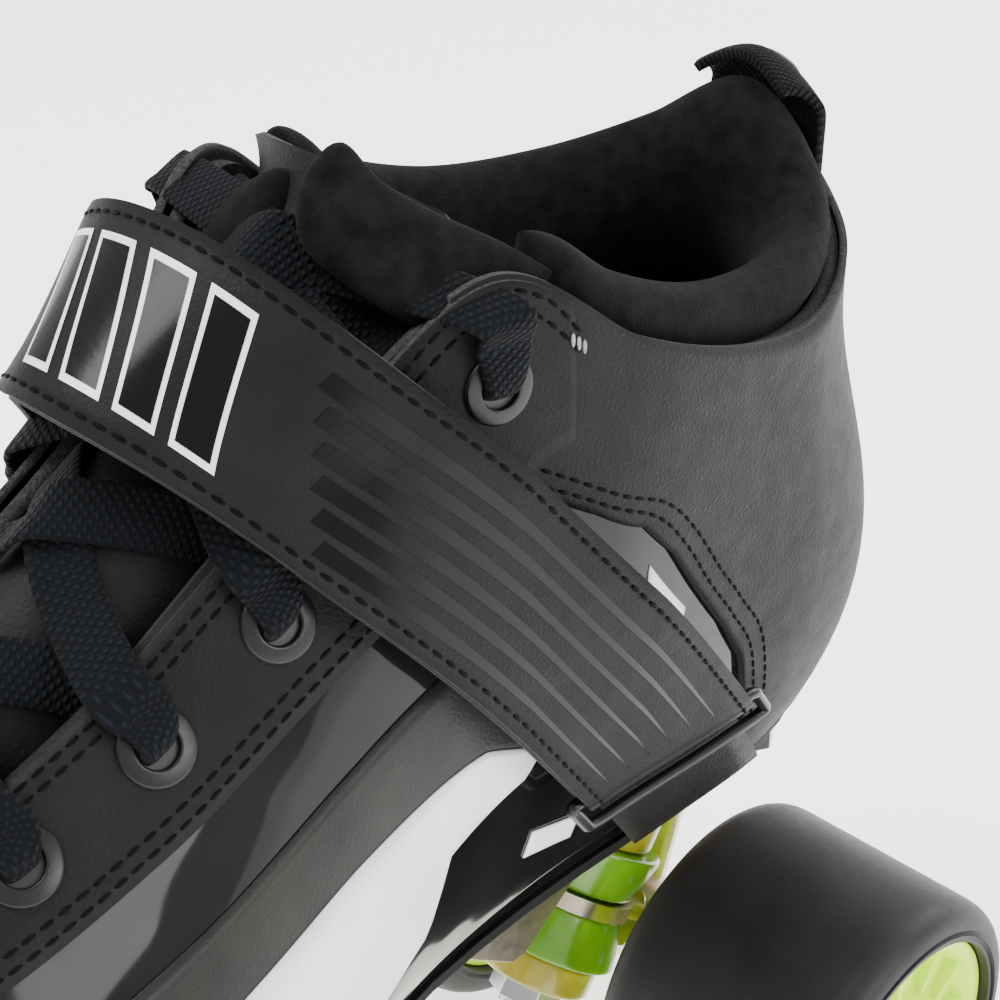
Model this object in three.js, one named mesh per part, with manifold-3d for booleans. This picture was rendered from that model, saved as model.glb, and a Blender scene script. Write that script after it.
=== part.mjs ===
// Quad roller skate, left foot: a lace-up boot with an instep strap on a metal plate,
// two cushioned trucks, four wheels and a toe stop.
// Millimetres. +X to the toe, +Y to the outer side of the foot, +Z up, wheels on z = 0.
import * as THREE from 'three';
import { mergeVertices } from 'three/addons/utils/BufferGeometryUtils.js';
import Module from 'manifold-3d';

const wasm = await Module();
wasm.setup();

// ---- driving dimensions ----
const REAR_AXLE_X = -100;
const WHEELBASE = 165;
const WHEEL_R = 31;
const WHEEL_W = 43.5;
const WHEEL_GAP = 39;            // between the two wheels of one axle
const TYRE_EDGE = 6;
const HUB_R = 24.5;
const HUB_INSET = 2;             // the hub's faces lie this far inside the tyre's
const BEARING_R = 11;
const BEARING_W = 7;
const BEARING_INSET = 8;
const AXLE_R = 4;
const FIT = 0.06;                // running clearance on the axle
const GAP = 0.3;                 // clearance between touching pieces
const PLATE_TOP = 74;
const PLATE_T = 4;
const SOLE_T = 2;
const SHELL_T = 2.4;
const UPPER_Z = PLATE_TOP + GAP + SOLE_T + GAP;
const STRAP_W = 28;
const STRAP_T = 1.6;

const FRONT_AXLE_X = REAR_AXLE_X + WHEELBASE;
const PLATE_BOTTOM = PLATE_TOP - PLATE_T;
const WHEEL_SIDES = 32;
const BEARING_SIDES = 12;
const HUB_SIDES = 16;

// ---- finishes ----
const finish = (color, roughness, metalness = 0) => ({ color, roughness, metalness });
const LEATHER = finish(0x34322f, 0.6);
const SUEDE = finish(0x262522, 0.95);
const LACE = finish(0x192128, 0.9);
const GUNMETAL = finish(0x3a3a3c, 0.35, 0.9);
const CHAMPAGNE = finish(0xb8a68c, 0.35, 0.8);
const STEEL = finish(0xb0b4b8, 0.3, 1);
const AMBER = finish(0xb0a020, 0.4);
const GREEN = finish(0x5c9a10, 0.4);
const TYRE = finish(0x1c1c1c, 0.6);
const YELLOW = finish(0xe0f000, 0.4);
const RUBBER = finish(0x202020, 0.8);
const PATENT = finish(0x0a0a0a, 0.08);

const skate = new THREE.Group();

function add(name, geometry, look, parent = skate) {
  const mesh = new THREE.Mesh(geometry, new THREE.MeshStandardMaterial(look));
  mesh.name = name;
  parent.add(mesh);
  return mesh;
}

// ---- solids: joining and cutting ----
function solid(geometry) {
  const bare = geometry.clone();
  bare.deleteAttribute('normal');
  bare.deleteAttribute('uv');
  const merged = mergeVertices(bare, 1e-4);
  const mesh = new wasm.Mesh({
    numProp: 3,
    vertProperties: new Float32Array(merged.attributes.position.array),
    triVerts: new Uint32Array(merged.index.array),
  });
  return new wasm.Manifold(mesh);
}

function toGeometry(manifold) {
  const mesh = manifold.getMesh();
  const geometry = new THREE.BufferGeometry();
  geometry.setAttribute('position', new THREE.BufferAttribute(new Float32Array(mesh.vertProperties), 3));
  geometry.setIndex(new THREE.BufferAttribute(new Uint32Array(mesh.triVerts), 1));
  return geometry;
}

function join(list) {
  return list.map(solid).reduce((a, b) => a.add(b));
}

function cut(manifold, list) {
  return list.map(solid).reduce((a, b) => a.subtract(b), manifold);
}

// A closed ring turned about +Y from a closed list of [radius, y] corners.
function turned(corners, sides) {
  const points = corners.map(([r, y]) => new THREE.Vector2(r, y));
  points.push(points[0].clone());
  const lathe = new THREE.LatheGeometry(points, sides);
  return outward(lathe);
}

// Faces of a closed geometry pointing out, whichever way its outline was drawn.
function outward(geometry) {
  const bare = geometry.clone();
  bare.deleteAttribute('normal');
  bare.deleteAttribute('uv');
  const merged = mergeVertices(bare, 1e-4);
  const index = [];
  const raw = merged.index.array;
  for (let i = 0; i < raw.length; i += 3) {
    const [a, b, c] = [raw[i], raw[i + 1], raw[i + 2]];
    if (a !== b && b !== c && c !== a) index.push(a, b, c);
  }
  merged.setIndex(index);
  if (volume(merged) < 0) {
    for (let i = 0; i < index.length; i += 3) {
      [index[i], index[i + 1]] = [index[i + 1], index[i]];
    }
    merged.setIndex(index);
  }
  return merged;
}

function volume(geometry) {
  const p = geometry.attributes.position;
  const index = geometry.index.array;
  const [a, b, c] = [new THREE.Vector3(), new THREE.Vector3(), new THREE.Vector3()];
  let sum = 0;
  for (let i = 0; i < index.length; i += 3) {
    a.fromBufferAttribute(p, index[i]);
    b.fromBufferAttribute(p, index[i + 1]);
    c.fromBufferAttribute(p, index[i + 2]);
    sum += a.dot(b.cross(c));
  }
  return sum;
}

// A cylinder between two points.
function rod(from, to, r0, r1 = r0, sides = 16) {
  const a = new THREE.Vector3(...from);
  const b = new THREE.Vector3(...to);
  const geometry = new THREE.CylinderGeometry(r1, r0, a.distanceTo(b), sides);
  const turn = new THREE.Quaternion().setFromUnitVectors(
    new THREE.Vector3(0, 1, 0), b.clone().sub(a).normalize());
  geometry.applyQuaternion(turn);
  geometry.translate(...a.add(b).multiplyScalar(0.5).toArray());
  return geometry;
}

const BORE_SIDES = 16;

// The cutter for a bore that clears a shaft.
function bore(from, to, shaftR) {
  const r = boreR(shaftR, BORE_SIDES);
  return rod(from, to, r, r, BORE_SIDES);
}

// A turned ring whose +Y axis is laid along the line from one point to another.
function turnedAlong(corners, from, to, sides) {
  const a = new THREE.Vector3(...from);
  const axis = new THREE.Vector3(...to).sub(a).normalize();
  const geometry = turned(corners, sides);
  geometry.applyQuaternion(new THREE.Quaternion().setFromUnitVectors(new THREE.Vector3(0, 1, 0), axis));
  geometry.translate(...a.toArray());
  return geometry;
}

// A flat-sided block: an outline in the XZ plane, thick from -half to +half in Y.
function slabXZ(outline, half) {
  const shape = new THREE.Shape(outline.map(([x, z]) => new THREE.Vector2(x, z)));
  const geometry = new THREE.ExtrudeGeometry(shape, { depth: 2 * half, bevelEnabled: false });
  geometry.rotateX(Math.PI / 2);
  geometry.translate(0, half, 0);
  return geometry;
}

// A flat plate: an outline in the XY plane from z0 to z1.
function slabXY(outline, z0, z1) {
  const shape = new THREE.Shape(outline.map(([x, y]) => new THREE.Vector2(x, y)));
  const geometry = new THREE.ExtrudeGeometry(shape, { depth: z1 - z0, bevelEnabled: false });
  geometry.translate(0, 0, z0);
  return geometry;
}

// ---- wheels: a polyurethane tyre cast on a plastic hub, two ball bearings in it ----
function tyreCorners() {
  const r = WHEEL_R / Math.cos(Math.PI / WHEEL_SIDES);   // flats touch the ground
  const e = TYRE_EDGE;
  const w = WHEEL_W;
  return [
    [HUB_R + GAP, 0], [r - e, 0], [r - 0.3 * e, 0.3 * e], [r, e],
    [r, w - e], [r - 0.3 * e, w - 0.3 * e], [r - e, w], [HUB_R + GAP, w],
  ];
}

function hubCorners() {
  const seat = BEARING_R + GAP;
  const bore = AXLE_R + 3;
  const b0 = BEARING_INSET + BEARING_W + GAP;
  const face = HUB_INSET;
  return [
    [seat, face], [HUB_R, face], [HUB_R, WHEEL_W - face], [seat, WHEEL_W - face],
    [seat, WHEEL_W - b0], [bore, WHEEL_W - b0], [bore, b0], [seat, b0],
  ];
}

// The corner radius of a faceted bore whose flats clear a shaft.
const boreR = (shaftR, sides) => (shaftR + FIT) / Math.cos(Math.PI / sides);

function bearingCorners(y) {
  const inner = boreR(AXLE_R, BEARING_SIDES);
  return [[inner, y], [BEARING_R, y], [BEARING_R, y + BEARING_W], [inner, y + BEARING_W]];
}

function wheel(name, x, y0) {
  const group = new THREE.Group();
  group.position.set(x, y0, WHEEL_R);
  skate.add(group);
  const tyre = turned(tyreCorners(), WHEEL_SIDES);
  tyre.rotateY(Math.PI / WHEEL_SIDES);
  add(`${name}_tyre`, tyre, TYRE, group);
  add(`${name}_hub`, turned(hubCorners(), HUB_SIDES), YELLOW, group);
  add(`${name}_bearing_a`, turned(bearingCorners(BEARING_INSET), BEARING_SIDES), STEEL, group);
  const far = WHEEL_W - BEARING_INSET - BEARING_W;
  add(`${name}_bearing_b`, turned(bearingCorners(far), BEARING_SIDES), STEEL, group);
}

// ---- trucks, in their own frame: axle centre at the origin, +X to the middle of the skate ----
const KINGPIN_LEAN = [0.577, 0, -0.817];       // down and inwards
const STACK_TOP = [1.4, 0, 29];                // top face of the upper retainer
const RETAINER_T = 9.4;
const CUSHION_T = 9;
const RING_T = 3;
const CUSHION_R = 12.8;
const WAIST_R = 10.4;
const RETAINER_R = 10.3;
const KINGPIN_R = 3.8;
const PIVOT_POINT = [-19, 0, 30];

// The point at distance t down the kingpin from the top of the stack.
function onKingpin(t) {
  return STACK_TOP.map((c, i) => c + t * KINGPIN_LEAN[i]);
}

const UPPER_CUSHION_AT = RETAINER_T + GAP;
const RING_AT = UPPER_CUSHION_AT + CUSHION_T + GAP;
const LOWER_CUSHION_AT = RING_AT + RING_T + GAP;
const LOWER_RETAINER_AT = LOWER_CUSHION_AT + CUSHION_T + GAP;
const LOWER_RETAINER_T = 6;
const NUT_AT = LOWER_RETAINER_AT + LOWER_RETAINER_T + GAP;
const NUT_T = 4;

function ringCorners(r, length, inner = KINGPIN_R + GAP) {
  return [[inner, 0], [r, 0], [r, length], [inner, length]];
}

// A cushion: full at its retainer, waisted towards the hanger's ring.
function cushionCorners(wideFirst) {
  const inner = KINGPIN_R + GAP;
  const a = wideFirst ? CUSHION_R : WAIST_R;
  const b = wideFirst ? WAIST_R : CUSHION_R;
  return [[inner, 0], [a, 0], [(a + b) / 2 - 0.8, CUSHION_T / 2], [b, CUSHION_T], [inner, CUSHION_T]];
}

function stackPiece(name, corners, at, look, group) {
  add(name, turnedAlong(corners, onKingpin(at), onKingpin(at + 1), 20), look, group);
}

function hanger() {
  const half = WHEEL_GAP / 2 - 1.2;
  const ringCentre = onKingpin(RING_AT + RING_T / 2);
  const body = join([
    rod([0, -half, 0], [0, half, 0], 8, 8, 20),
    rod([0, -7, 0], [ringCentre[0] - 4, -5, ringCentre[2] - 1.5], 5, 3, 12),
    rod([0, 7, 0], [ringCentre[0] - 4, 5, ringCentre[2] - 1.5], 5, 3, 12),
    rod(onKingpin(RING_AT), onKingpin(RING_AT + RING_T), 11.5, 11.5, 20),
    rod([-2, 0, 2], [PIVOT_POINT[0] + 4, 0, PIVOT_POINT[2] - 6], 6.5, 4, 14),
    rod([PIVOT_POINT[0] + 5, 0, PIVOT_POINT[2] - 7.5], [PIVOT_POINT[0], 0, PIVOT_POINT[2]], 4, 3.4, 14),
  ]);
  const cuts = [
    bore([0, -60, 0], [0, 60, 0], AXLE_R),
    rod(onKingpin(RING_AT - 2), onKingpin(RING_AT + RING_T + 2), KINGPIN_R + 1.8, KINGPIN_R + 1.8, 16),
    rod(onKingpin(UPPER_CUSHION_AT), onKingpin(RING_AT), CUSHION_R + 1.2, CUSHION_R + 1.2, 20),
    rod(onKingpin(RING_AT + RING_T), onKingpin(NUT_AT + 12), CUSHION_R + 1.2, CUSHION_R + 1.2, 20),
  ];
  return toGeometry(cut(body, cuts));
}

function kingpin() {
  const nut = rod(onKingpin(NUT_AT), onKingpin(NUT_AT + NUT_T), 6.6, 6.6, 6);
  const shank = rod(onKingpin(-8), onKingpin(NUT_AT + NUT_T + 2), KINGPIN_R, KINGPIN_R, 14);
  return toGeometry(join([nut, shank]));
}

function truck(name, x, facing) {
  const group = new THREE.Group();
  group.position.set(x, 0, WHEEL_R);
  group.rotation.z = facing > 0 ? 0 : Math.PI;
  skate.add(group);
  add(`${name}_hanger`, hanger(), CHAMPAGNE, group);
  const axleHalf = WHEEL_GAP / 2 + WHEEL_W - 1;
  add(`${name}_axle`, rod([0, -axleHalf, 0], [0, axleHalf, 0], AXLE_R, AXLE_R, 24), STEEL, group);
  add(`${name}_kingpin`, kingpin(), STEEL, group);
  stackPiece(`${name}_upper_retainer`, ringCorners(RETAINER_R, RETAINER_T), 0, AMBER, group);
  stackPiece(`${name}_upper_cushion`, cushionCorners(true), UPPER_CUSHION_AT, GREEN, group);
  stackPiece(`${name}_lower_cushion`, cushionCorners(false), LOWER_CUSHION_AT, GREEN, group);
  stackPiece(`${name}_lower_retainer`, ringCorners(RETAINER_R, LOWER_RETAINER_T), LOWER_RETAINER_AT,
    AMBER, group);
}

// Lock nuts stand on the axle outside the outer bearings.
function axleNut(name, x, side) {
  const face = WHEEL_GAP / 2 + WHEEL_W - BEARING_INSET + GAP;
  const from = [x, side * face, WHEEL_R];
  const to = [x, side * (face + 5.5), WHEEL_R];
  const nut = cut(join([rod(from, to, 6.4, 6.4, 6)]), [
    bore([x, side * (face - 2), WHEEL_R], [x, side * (face + 9), WHEEL_R], AXLE_R)]);
  add(name, toGeometry(nut), STEEL);
}

// ---- toe stop: rubber cone on a threaded stem, locked by a nut under the plate ----
const STOP_AXIS = [0.45, 0, -0.893];
const STOP_FROM = [104, 0, 66];

function onStem(t) {
  return STOP_FROM.map((c, i) => c + t * STOP_AXIS[i]);
}

const STEM_R = 7.8;
const STEM_TOP = -4;
const STOP_AT = 21;
const STOP_L = 22;
const STEM_IN_STOP = 11;

function toeStop() {
  const seat = STEM_R + GAP;
  const corners = [
    [seat, 0], [11, 0], [19, 12], [21, 17], [20, 21], [17, STOP_L],
    [5, STOP_L], [5, STEM_IN_STOP + 0.5], [seat, STEM_IN_STOP + 0.5],
  ];
  return turnedAlong(corners, onStem(STOP_AT), onStem(STOP_AT + 1), 28);
}

function toeStopNut() {
  const nut = join([rod(onStem(9), onStem(14.5), 12.2, 12.2, 6)]);
  return toGeometry(cut(nut, [bore(onStem(5), onStem(19), STEM_R)]));
}

// ---- plate: one casting with a flat deck, truck housings and the toe stop's boss ----
const DECK = [
  [-128, 0], [-127, 12], [-121, 18], [-110, 19], [-85, 17], [-45, 12.5], [10, 12.5], [45, 18],
  [62, 24], [84, 25], [100, 20], [112, 16], [120, 8], [121, 0],
];

// The housing of one truck, in the truck's frame, up to the deck.
function housing(x, facing) {
  const up = PLATE_BOTTOM - WHEEL_R + 1;
  const parts = [
    rod([-8.2, 0, 40], onKingpin(-GAP), 9.5, 9.2, 18),
    slabXZ([[14, up], [20, 34], [38, 21.5], [41, 21.5], [60, 36], [70, up]], 12),
    slabXZ([[-32, up], [-30, 33], [-24, 26], [-17, 30], [-9, up]], 6.4),
  ];
  return parts.map((part) => {
    const placed = part.clone();
    if (facing < 0) placed.rotateZ(Math.PI);
    placed.translate(x, 0, WHEEL_R);
    return placed;
  });
}

function housingCuts(x, facing) {
  const cuts = [
    rod(onKingpin(-8.5), onKingpin(3), KINGPIN_R + GAP, KINGPIN_R + GAP, 14),
    rod([PIVOT_POINT[0] + 6, 0, PIVOT_POINT[2] - 9], [PIVOT_POINT[0] - 1.4, 0, PIVOT_POINT[2] + 2.1],
      5.6, 5.0, 14),
    rod(onKingpin(-GAP), onKingpin(UPPER_CUSHION_AT), RETAINER_R + 1, RETAINER_R + 1, 20),
    rod(onKingpin(UPPER_CUSHION_AT - GAP), onKingpin(RING_AT), CUSHION_R + 1, CUSHION_R + 1, 20),
  ];
  return cuts.map((part) => {
    const placed = part.clone();
    if (facing < 0) placed.rotateZ(Math.PI);
    placed.translate(x, 0, WHEEL_R);
    return placed;
  });
}

const BOLTS = [[-119, 12.5], [-119, -12.5], [88, 15], [88, -15]];
const BOLT_R = 2.6;

function boltHole([x, y]) {
  return rod([x, y, PLATE_BOTTOM - 3], [x, y, UPPER_Z + 1], BOLT_R + 0.1, BOLT_R + 0.1, 14);
}

function plate() {
  const outline = DECK.concat(DECK.slice(1, -1).reverse().map(([x, y]) => [x, -y]));
  const body = join([
    slabXY(outline, PLATE_BOTTOM, PLATE_TOP),
    slabXZ([[-60, PLATE_BOTTOM + 1], [-45, 64], [12, 64], [26, PLATE_BOTTOM + 1]], 5),
    rod(onStem(-6), onStem(7), 12.5, 11.5, 24),
    ...housing(REAR_AXLE_X, 1),
    ...housing(FRONT_AXLE_X, -1),
  ]);
  const above = slabXY([[-150, -60], [150, -60], [150, 60], [-150, 60]], PLATE_TOP, PLATE_TOP + 30);
  return toGeometry(cut(body, [
    above,
    bore(onStem(STEM_TOP - GAP), onStem(20), STEM_R),
    ...housingCuts(REAR_AXLE_X, 1),
    ...housingCuts(FRONT_AXLE_X, -1),
    ...BOLTS.map(boltHole),
  ]));
}

function mountingBolt([x, y]) {
  const head = rod([x, y, PLATE_BOTTOM - 5.3], [x, y, PLATE_BOTTOM - GAP], 5.2, 5.2, 6);
  const shank = rod([x, y, PLATE_BOTTOM - 1], [x, y, PLATE_TOP + SOLE_T], BOLT_R, BOLT_R, 14);
  return toGeometry(join([head, shank]));
}

// ---- boot: one wall runs from the sole's edge up to the top line, on each side ----
// Stations from the middle of the heel to the toe: the wall's foot (x, y), its top (x, y, z),
// how far it leans out and rises above its foot, and how far it leans out and drops below its top.
const STATIONS = [
  [-136, 0, -129, 0, 174, 17, 40, -3, 34],
  [-127, 16, -124, 18, 165, 18, 38, -2, 30],
  [-106, 22, -107, 29, 161, 16, 36, -1, 26],
  [-80, 22, -84, 33, 164, 14, 34, 0, 28],
  [-52, 21, -60, 33, 174, 13, 34, 2, 34],
  [-24, 23, -37, 26, 189, 15, 32, 4, 42],
  [4, 31, -8, 17, 168, 13, 30, 14, 26],
  [31, 39, 22, 16, 152, 10, 27, 17, 16],
  [60, 43, 52, 12, 141, 8, 25, 19, 9],
  [92, 43, 78, 0, 136, 7, 23, 25, 3],
  [121, 35, 106, 0, 128, 6, 21, 22, 3],
  [136.6, 18, 122, 0, 117, 5, 18, 13, 4],
  [142.5, 0, 130.5, 0, 107, 4, 14, 0, 8],
];
const LAST = STATIONS.length - 1;
const THROAT_U = 9 / LAST;       // past here the two sides meet on the top of the foot
const HALF_STEPS = 22;           // of the wall, from the heel to the end of the throat

function spline(a, b, c, d, t) {
  const k1 = c - a;
  const k2 = 2 * a - 5 * b + 4 * c - d;
  const k3 = 3 * b - a - 3 * c + d;
  return 0.5 * (2 * b + k1 * t + k2 * t * t + k3 * t * t * t);
}

function station(i) {
  if (i >= 0 && i <= LAST) return STATIONS[i];
  const mirror = [...STATIONS[i < 0 ? -i : 2 * LAST - i]];
  mirror[1] *= -1;
  mirror[3] *= -1;
  return mirror;
}

function row(u) {
  const s = Math.min(Math.max(u, 0), 1) * LAST;
  const i = Math.min(Math.floor(s), LAST - 1);
  const [a, b, c, d] = [station(i - 1), station(i), station(i + 1), station(i + 2)];
  return b.map((_, k) => spline(a[k], b[k], c[k], d[k], s - i));
}

// The way out of the boot, seen from above, at the wall's foot (k = 0) or top (k = 2).
function outAt(u, k) {
  const e = 1e-3;
  if (u <= 0) return [-1, 0];
  if (u >= 1) return [1, 0];
  const a = row(Math.max(u - e, 0));
  const b = row(Math.min(u + e, 1));
  const [tx, ty] = [b[k] - a[k], b[k + 1] - a[k + 1]];
  const l = Math.hypot(tx, ty);
  return [-ty / l, tx / l];
}

// The way out at the wall's top, which turns square to the boot's length before the throat closes.
function topOut(u) {
  const [x, y] = outAt(u, 2);
  if (u >= 1) return [x, y];
  const turned = Math.min(Math.max(1 - (THROAT_U - u) * LAST, 0), 1);
  const [qx, qy] = [x * (1 - turned), y + (1 - y) * turned];
  const l = Math.hypot(qx, qy);
  return [qx / l, qy / l];
}

function wallPoint(side, u, v) {
  const [bx, by, tx, ty, tz, bo, bu, to, td] = row(u);
  const [ox, oy] = outAt(u, 0);
  const [qx, qy] = topOut(u);
  const p = [
    [bx, by, UPPER_Z], [bx + ox * bo, by + oy * bo, UPPER_Z + bu],
    [tx + qx * to, ty + qy * to, tz - td], [tx, ty, tz],
  ];
  const w = [(1 - v) ** 3, 3 * v * (1 - v) ** 2, 3 * v * v * (1 - v), v ** 3];
  const at = (k) => w.reduce((sum, wi, i) => sum + wi * p[i][k], 0);
  return new THREE.Vector3(at(0), side * at(1), at(2));
}

function wallNormal(side, u, v) {
  const e = 2e-3;
  const du = wallPoint(side, Math.min(u + e, 1), v).sub(wallPoint(side, Math.max(u - e, 0), v));
  const dv = wallPoint(side, u, Math.min(v + e, 1)).sub(wallPoint(side, u, Math.max(v - e, 0)));
  const n = du.cross(dv).multiplyScalar(-side).normalize();
  if (u <= 0 || u >= 1 || (v >= 1 && u >= THROAT_U)) n.setY(0).normalize();
  return n;
}

function offsetPoint(side, u, v, d) {
  const p = wallPoint(side, u, v).addScaledVector(wallNormal(side, u, v), d);
  if (u <= 0 || u >= 1 || (v >= 1 && u >= THROAT_U)) p.setY(0);
  return p;
}

// A closed solid from a grid of points on its outer face and the same grid on its inner one.
// A row is a list of [outer, inner]. Where two edges meet and weld, the rim between them is left out.
function thickSheet(rows, rimIsWelded = () => false, endsAreWelded = false) {
  const position = [];
  const index = [];
  const m = rows[0].length;
  const n = rows.length;
  rows.flat(2).forEach((p) => position.push(...p.toArray()));
  const at = (i, j, k) => 2 * (i * m + j) + k;
  const quad = (a, b, c, d) => index.push(a, b, c, a, c, d);
  for (let i = 0; i < n - 1; i += 1) {
    for (let j = 0; j < m - 1; j += 1) {
      quad(at(i, j, 0), at(i + 1, j, 0), at(i + 1, j + 1, 0), at(i, j + 1, 0));
      quad(at(i, j, 1), at(i, j + 1, 1), at(i + 1, j + 1, 1), at(i + 1, j, 1));
    }
    quad(at(i, 0, 0), at(i, 0, 1), at(i + 1, 0, 1), at(i + 1, 0, 0));
    if (!rimIsWelded(i)) quad(at(i, m - 1, 0), at(i + 1, m - 1, 0), at(i + 1, m - 1, 1), at(i, m - 1, 1));
  }
  for (let j = 0; j < m - 1 && !endsAreWelded; j += 1) {
    quad(at(0, j, 0), at(0, j + 1, 0), at(0, j + 1, 1), at(0, j, 1));
    quad(at(n - 1, j, 0), at(n - 1, j, 1), at(n - 1, j + 1, 1), at(n - 1, j + 1, 0));
  }
  const geometry = new THREE.BufferGeometry();
  geometry.setAttribute('position', new THREE.Float32BufferAttribute(position, 3));
  geometry.setIndex(index);
  return outward(geometry);
}

// The wall's points lifted off it: w runs from -1 (inner side of the toe) over the heel at 0 to 1.
function patchRows(ws, low, high, d0, d1, nv) {
  return ws.map((w) => {
    const side = w < 0 ? -1 : 1;
    const u = Math.abs(w);
    return Array.from({ length: nv + 1 }, (_, j) => {
      const v = low(u) + ((high(u) - low(u)) * j) / nv;
      return [offsetPoint(side, u, v, d1), offsetPoint(side, u, v, d0)];
    });
  });
}

function spread(from, to, steps) {
  return Array.from({ length: steps + 1 }, (_, i) => from + ((to - from) * i) / steps);
}

function patch(w0, w1, low, high, d0, d1, nu, nv) {
  return thickSheet(patchRows(spread(w0, w1, nu), low, high, d0, d1, nv));
}

// Eyelets as [u, v] on the wall, from the toe up, the same on both sides.
const EYELETS = [[0.672, 0.86], [0.62, 0.87], [0.567, 0.87], [0.51, 0.86], [0.458, 0.87], [0.414, 0.9]];
const EYELET_R = 2.9;
const EYESTAY_HOLE_R = 3.2;

function eyeletHoles(sides, radius) {
  return sides.flatMap((side) => EYELETS.map(([u, v]) => rod(
    offsetPoint(side, u, v, -SHELL_T - 2).toArray(), offsetPoint(side, u, v, 4).toArray(),
    radius, radius, 10)));
}

// The upper: both walls in one piece, closed over the toes, open at the throat and collar.
function bootUpper() {
  const toe = spread(THROAT_U, 1, 8).slice(1);
  const ws = [...toe.map((w) => -w).reverse(), ...spread(-THROAT_U, THROAT_U, 2 * HALF_STEPS), ...toe];
  const rows = patchRows(ws, () => 0, () => 1, -SHELL_T, 0, 8);
  const welded = (i) => Math.abs(ws[i] + ws[i + 1]) / 2 > THROAT_U;
  return toGeometry(cut(solid(thickSheet(rows, welded, true)), eyeletHoles([-1, 1], EYELET_R)));
}

// Overlays stitched on the wall, as thin patches lifted off it.
const OVERLAY_T = 1;
const OVERLAY_LIFT = 0.7;

function heelCounter() {
  const lift = 0.8;
  return patch(-0.235, 0.235, () => 0.015, (u) => 0.56 - 4 * u * u, lift, lift + OVERLAY_T, 16, 4);
}

// One patch for either side: w runs from the heel towards the toe on the outer side (side 1).
function sidePatch(side, u0, u1, low, high, thick, nv) {
  const [w0, w1] = side > 0 ? [u0, u1] : [-u1, -u0];
  return patch(w0, w1, low, high, OVERLAY_LIFT, OVERLAY_LIFT + thick, 14, nv);
}

function eyestay(side) {
  const strip = sidePatch(side, 0.385, 0.745, (u) => 0.72 - 0.5 * (u - 0.55) ** 2, () => 0.98, OVERLAY_T, 2);
  return toGeometry(cut(solid(strip), eyeletHoles([side], EYESTAY_HOLE_R)));
}

const SIDE_PANEL_T = 0.8;

const sidePanel = (side) => sidePatch(side, 0.3, 0.74,
  () => 0.03, (u) => 0.62 - 0.9 * (u - 0.52) ** 2, SIDE_PANEL_T, 4);

function footOutline(grow) {
  const points = [];
  const steps = 30;
  for (let i = -steps; i < steps; i += 1) {
    const side = i < 0 ? -1 : 1;
    const u = Math.abs(i) / steps;
    const [x, y] = row(u);
    const [ox, oy] = outAt(u, 0);
    points.push([x + ox * grow, side * (y + oy * grow)]);
  }
  return points;
}

function sole() {
  const slab = slabXY(footOutline(0.8), PLATE_TOP + GAP, PLATE_TOP + GAP + SOLE_T);
  return toGeometry(cut(solid(slab), BOLTS.map(boltHole)));
}

const insole = () => slabXY(footOutline(-4), UPPER_Z + 0.6, UPPER_Z + 3.6);

// A solid bar: closed sections of equal point counts, one after another, capped at both ends.
function loft(sections) {
  const position = [];
  const index = [];
  const m = sections[0].length;
  const n = sections.length;
  sections.forEach((section) => section.forEach((p) => position.push(...p.toArray())));
  for (let i = 0; i < n - 1; i += 1) {
    for (let j = 0; j < m; j += 1) {
      const k = (j + 1) % m;
      const [a, b, c, d] = [i * m + j, (i + 1) * m + j, (i + 1) * m + k, i * m + k];
      index.push(a, b, c, a, c, d);
    }
  }
  for (let j = 1; j < m - 1; j += 1) {
    index.push(0, j, j + 1);
    index.push((n - 1) * m, (n - 1) * m + j + 1, (n - 1) * m + j);
  }
  const geometry = new THREE.BufferGeometry();
  geometry.setAttribute('position', new THREE.Float32BufferAttribute(position, 3));
  geometry.setIndex(index);
  return outward(geometry);
}

// The collar's padding: a roll inside the top line, from one front end to the other by the heel.
// Its section is a list of [inwards, up] from the top line.
const COLLAR_STEPS = 11;
const COLLAR_END = (COLLAR_STEPS * THROAT_U) / HALF_STEPS;
const WALL_HEIGHT = 95;
const COLLAR_PROFILE = [
  [1, -26], [5, -26], [9, -14], [10.5, -2], [9, 6], [5, 9], [1.5, 7.5], [0.8, 1.5], [1, -12],
];

// A point inwards and up from the top line: it follows the wall below the line.
function fromTopLine(side, u, inward, rise) {
  const [ox, oy] = outAt(u, 2);
  const below = Math.min(rise, 0);
  const p = below < 0 ? offsetPoint(side, u, 1 + below / WALL_HEIGHT, -inward) : wallPoint(side, u, 1);
  if (below < 0) return p;
  p.x -= ox * inward;
  p.y -= side * oy * inward;
  p.z += rise;
  return p;
}

function collarRoll() {
  const sections = [];
  for (let i = -COLLAR_STEPS; i <= COLLAR_STEPS; i += 1) {
    const side = i < 0 ? -1 : 1;
    const u = (Math.abs(i) / COLLAR_STEPS) * COLLAR_END;
    sections.push(COLLAR_PROFILE.map(([inward, rise]) => {
      const p = fromTopLine(side, u, inward + SHELL_T, rise);
      if (i === 0) p.y = 0;
      return p;
    }));
  }
  return loft(sections);
}

// ---- tongue: padded, from under the vamp up the front of the ankle ----
const TONGUE = [
  // x, z, half width, side droop
  [72, 124, 14, 10], [52, 137.6, 17, 15], [26, 156, 18.5, 20], [-4, 173, 18, 21], [-20, 184, 20.5, 20],
  [-31, 194, 22, 18], [-37, 206, 19, 9],
];
const TONGUE_T = 6;

const TONGUE_LAST = TONGUE.length - 1;

// [x, z, half width, droop] at s, from 0 at the toe end to TONGUE_LAST at the top.
function tongueRow(s) {
  const i = Math.min(Math.floor(s), TONGUE_LAST - 1);
  const pick = (j) => TONGUE[Math.min(Math.max(j, 0), TONGUE_LAST)];
  return pick(i).map((_, k) => spline(pick(i - 1)[k], pick(i)[k], pick(i + 1)[k], pick(i + 2)[k], s - i));
}

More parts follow.
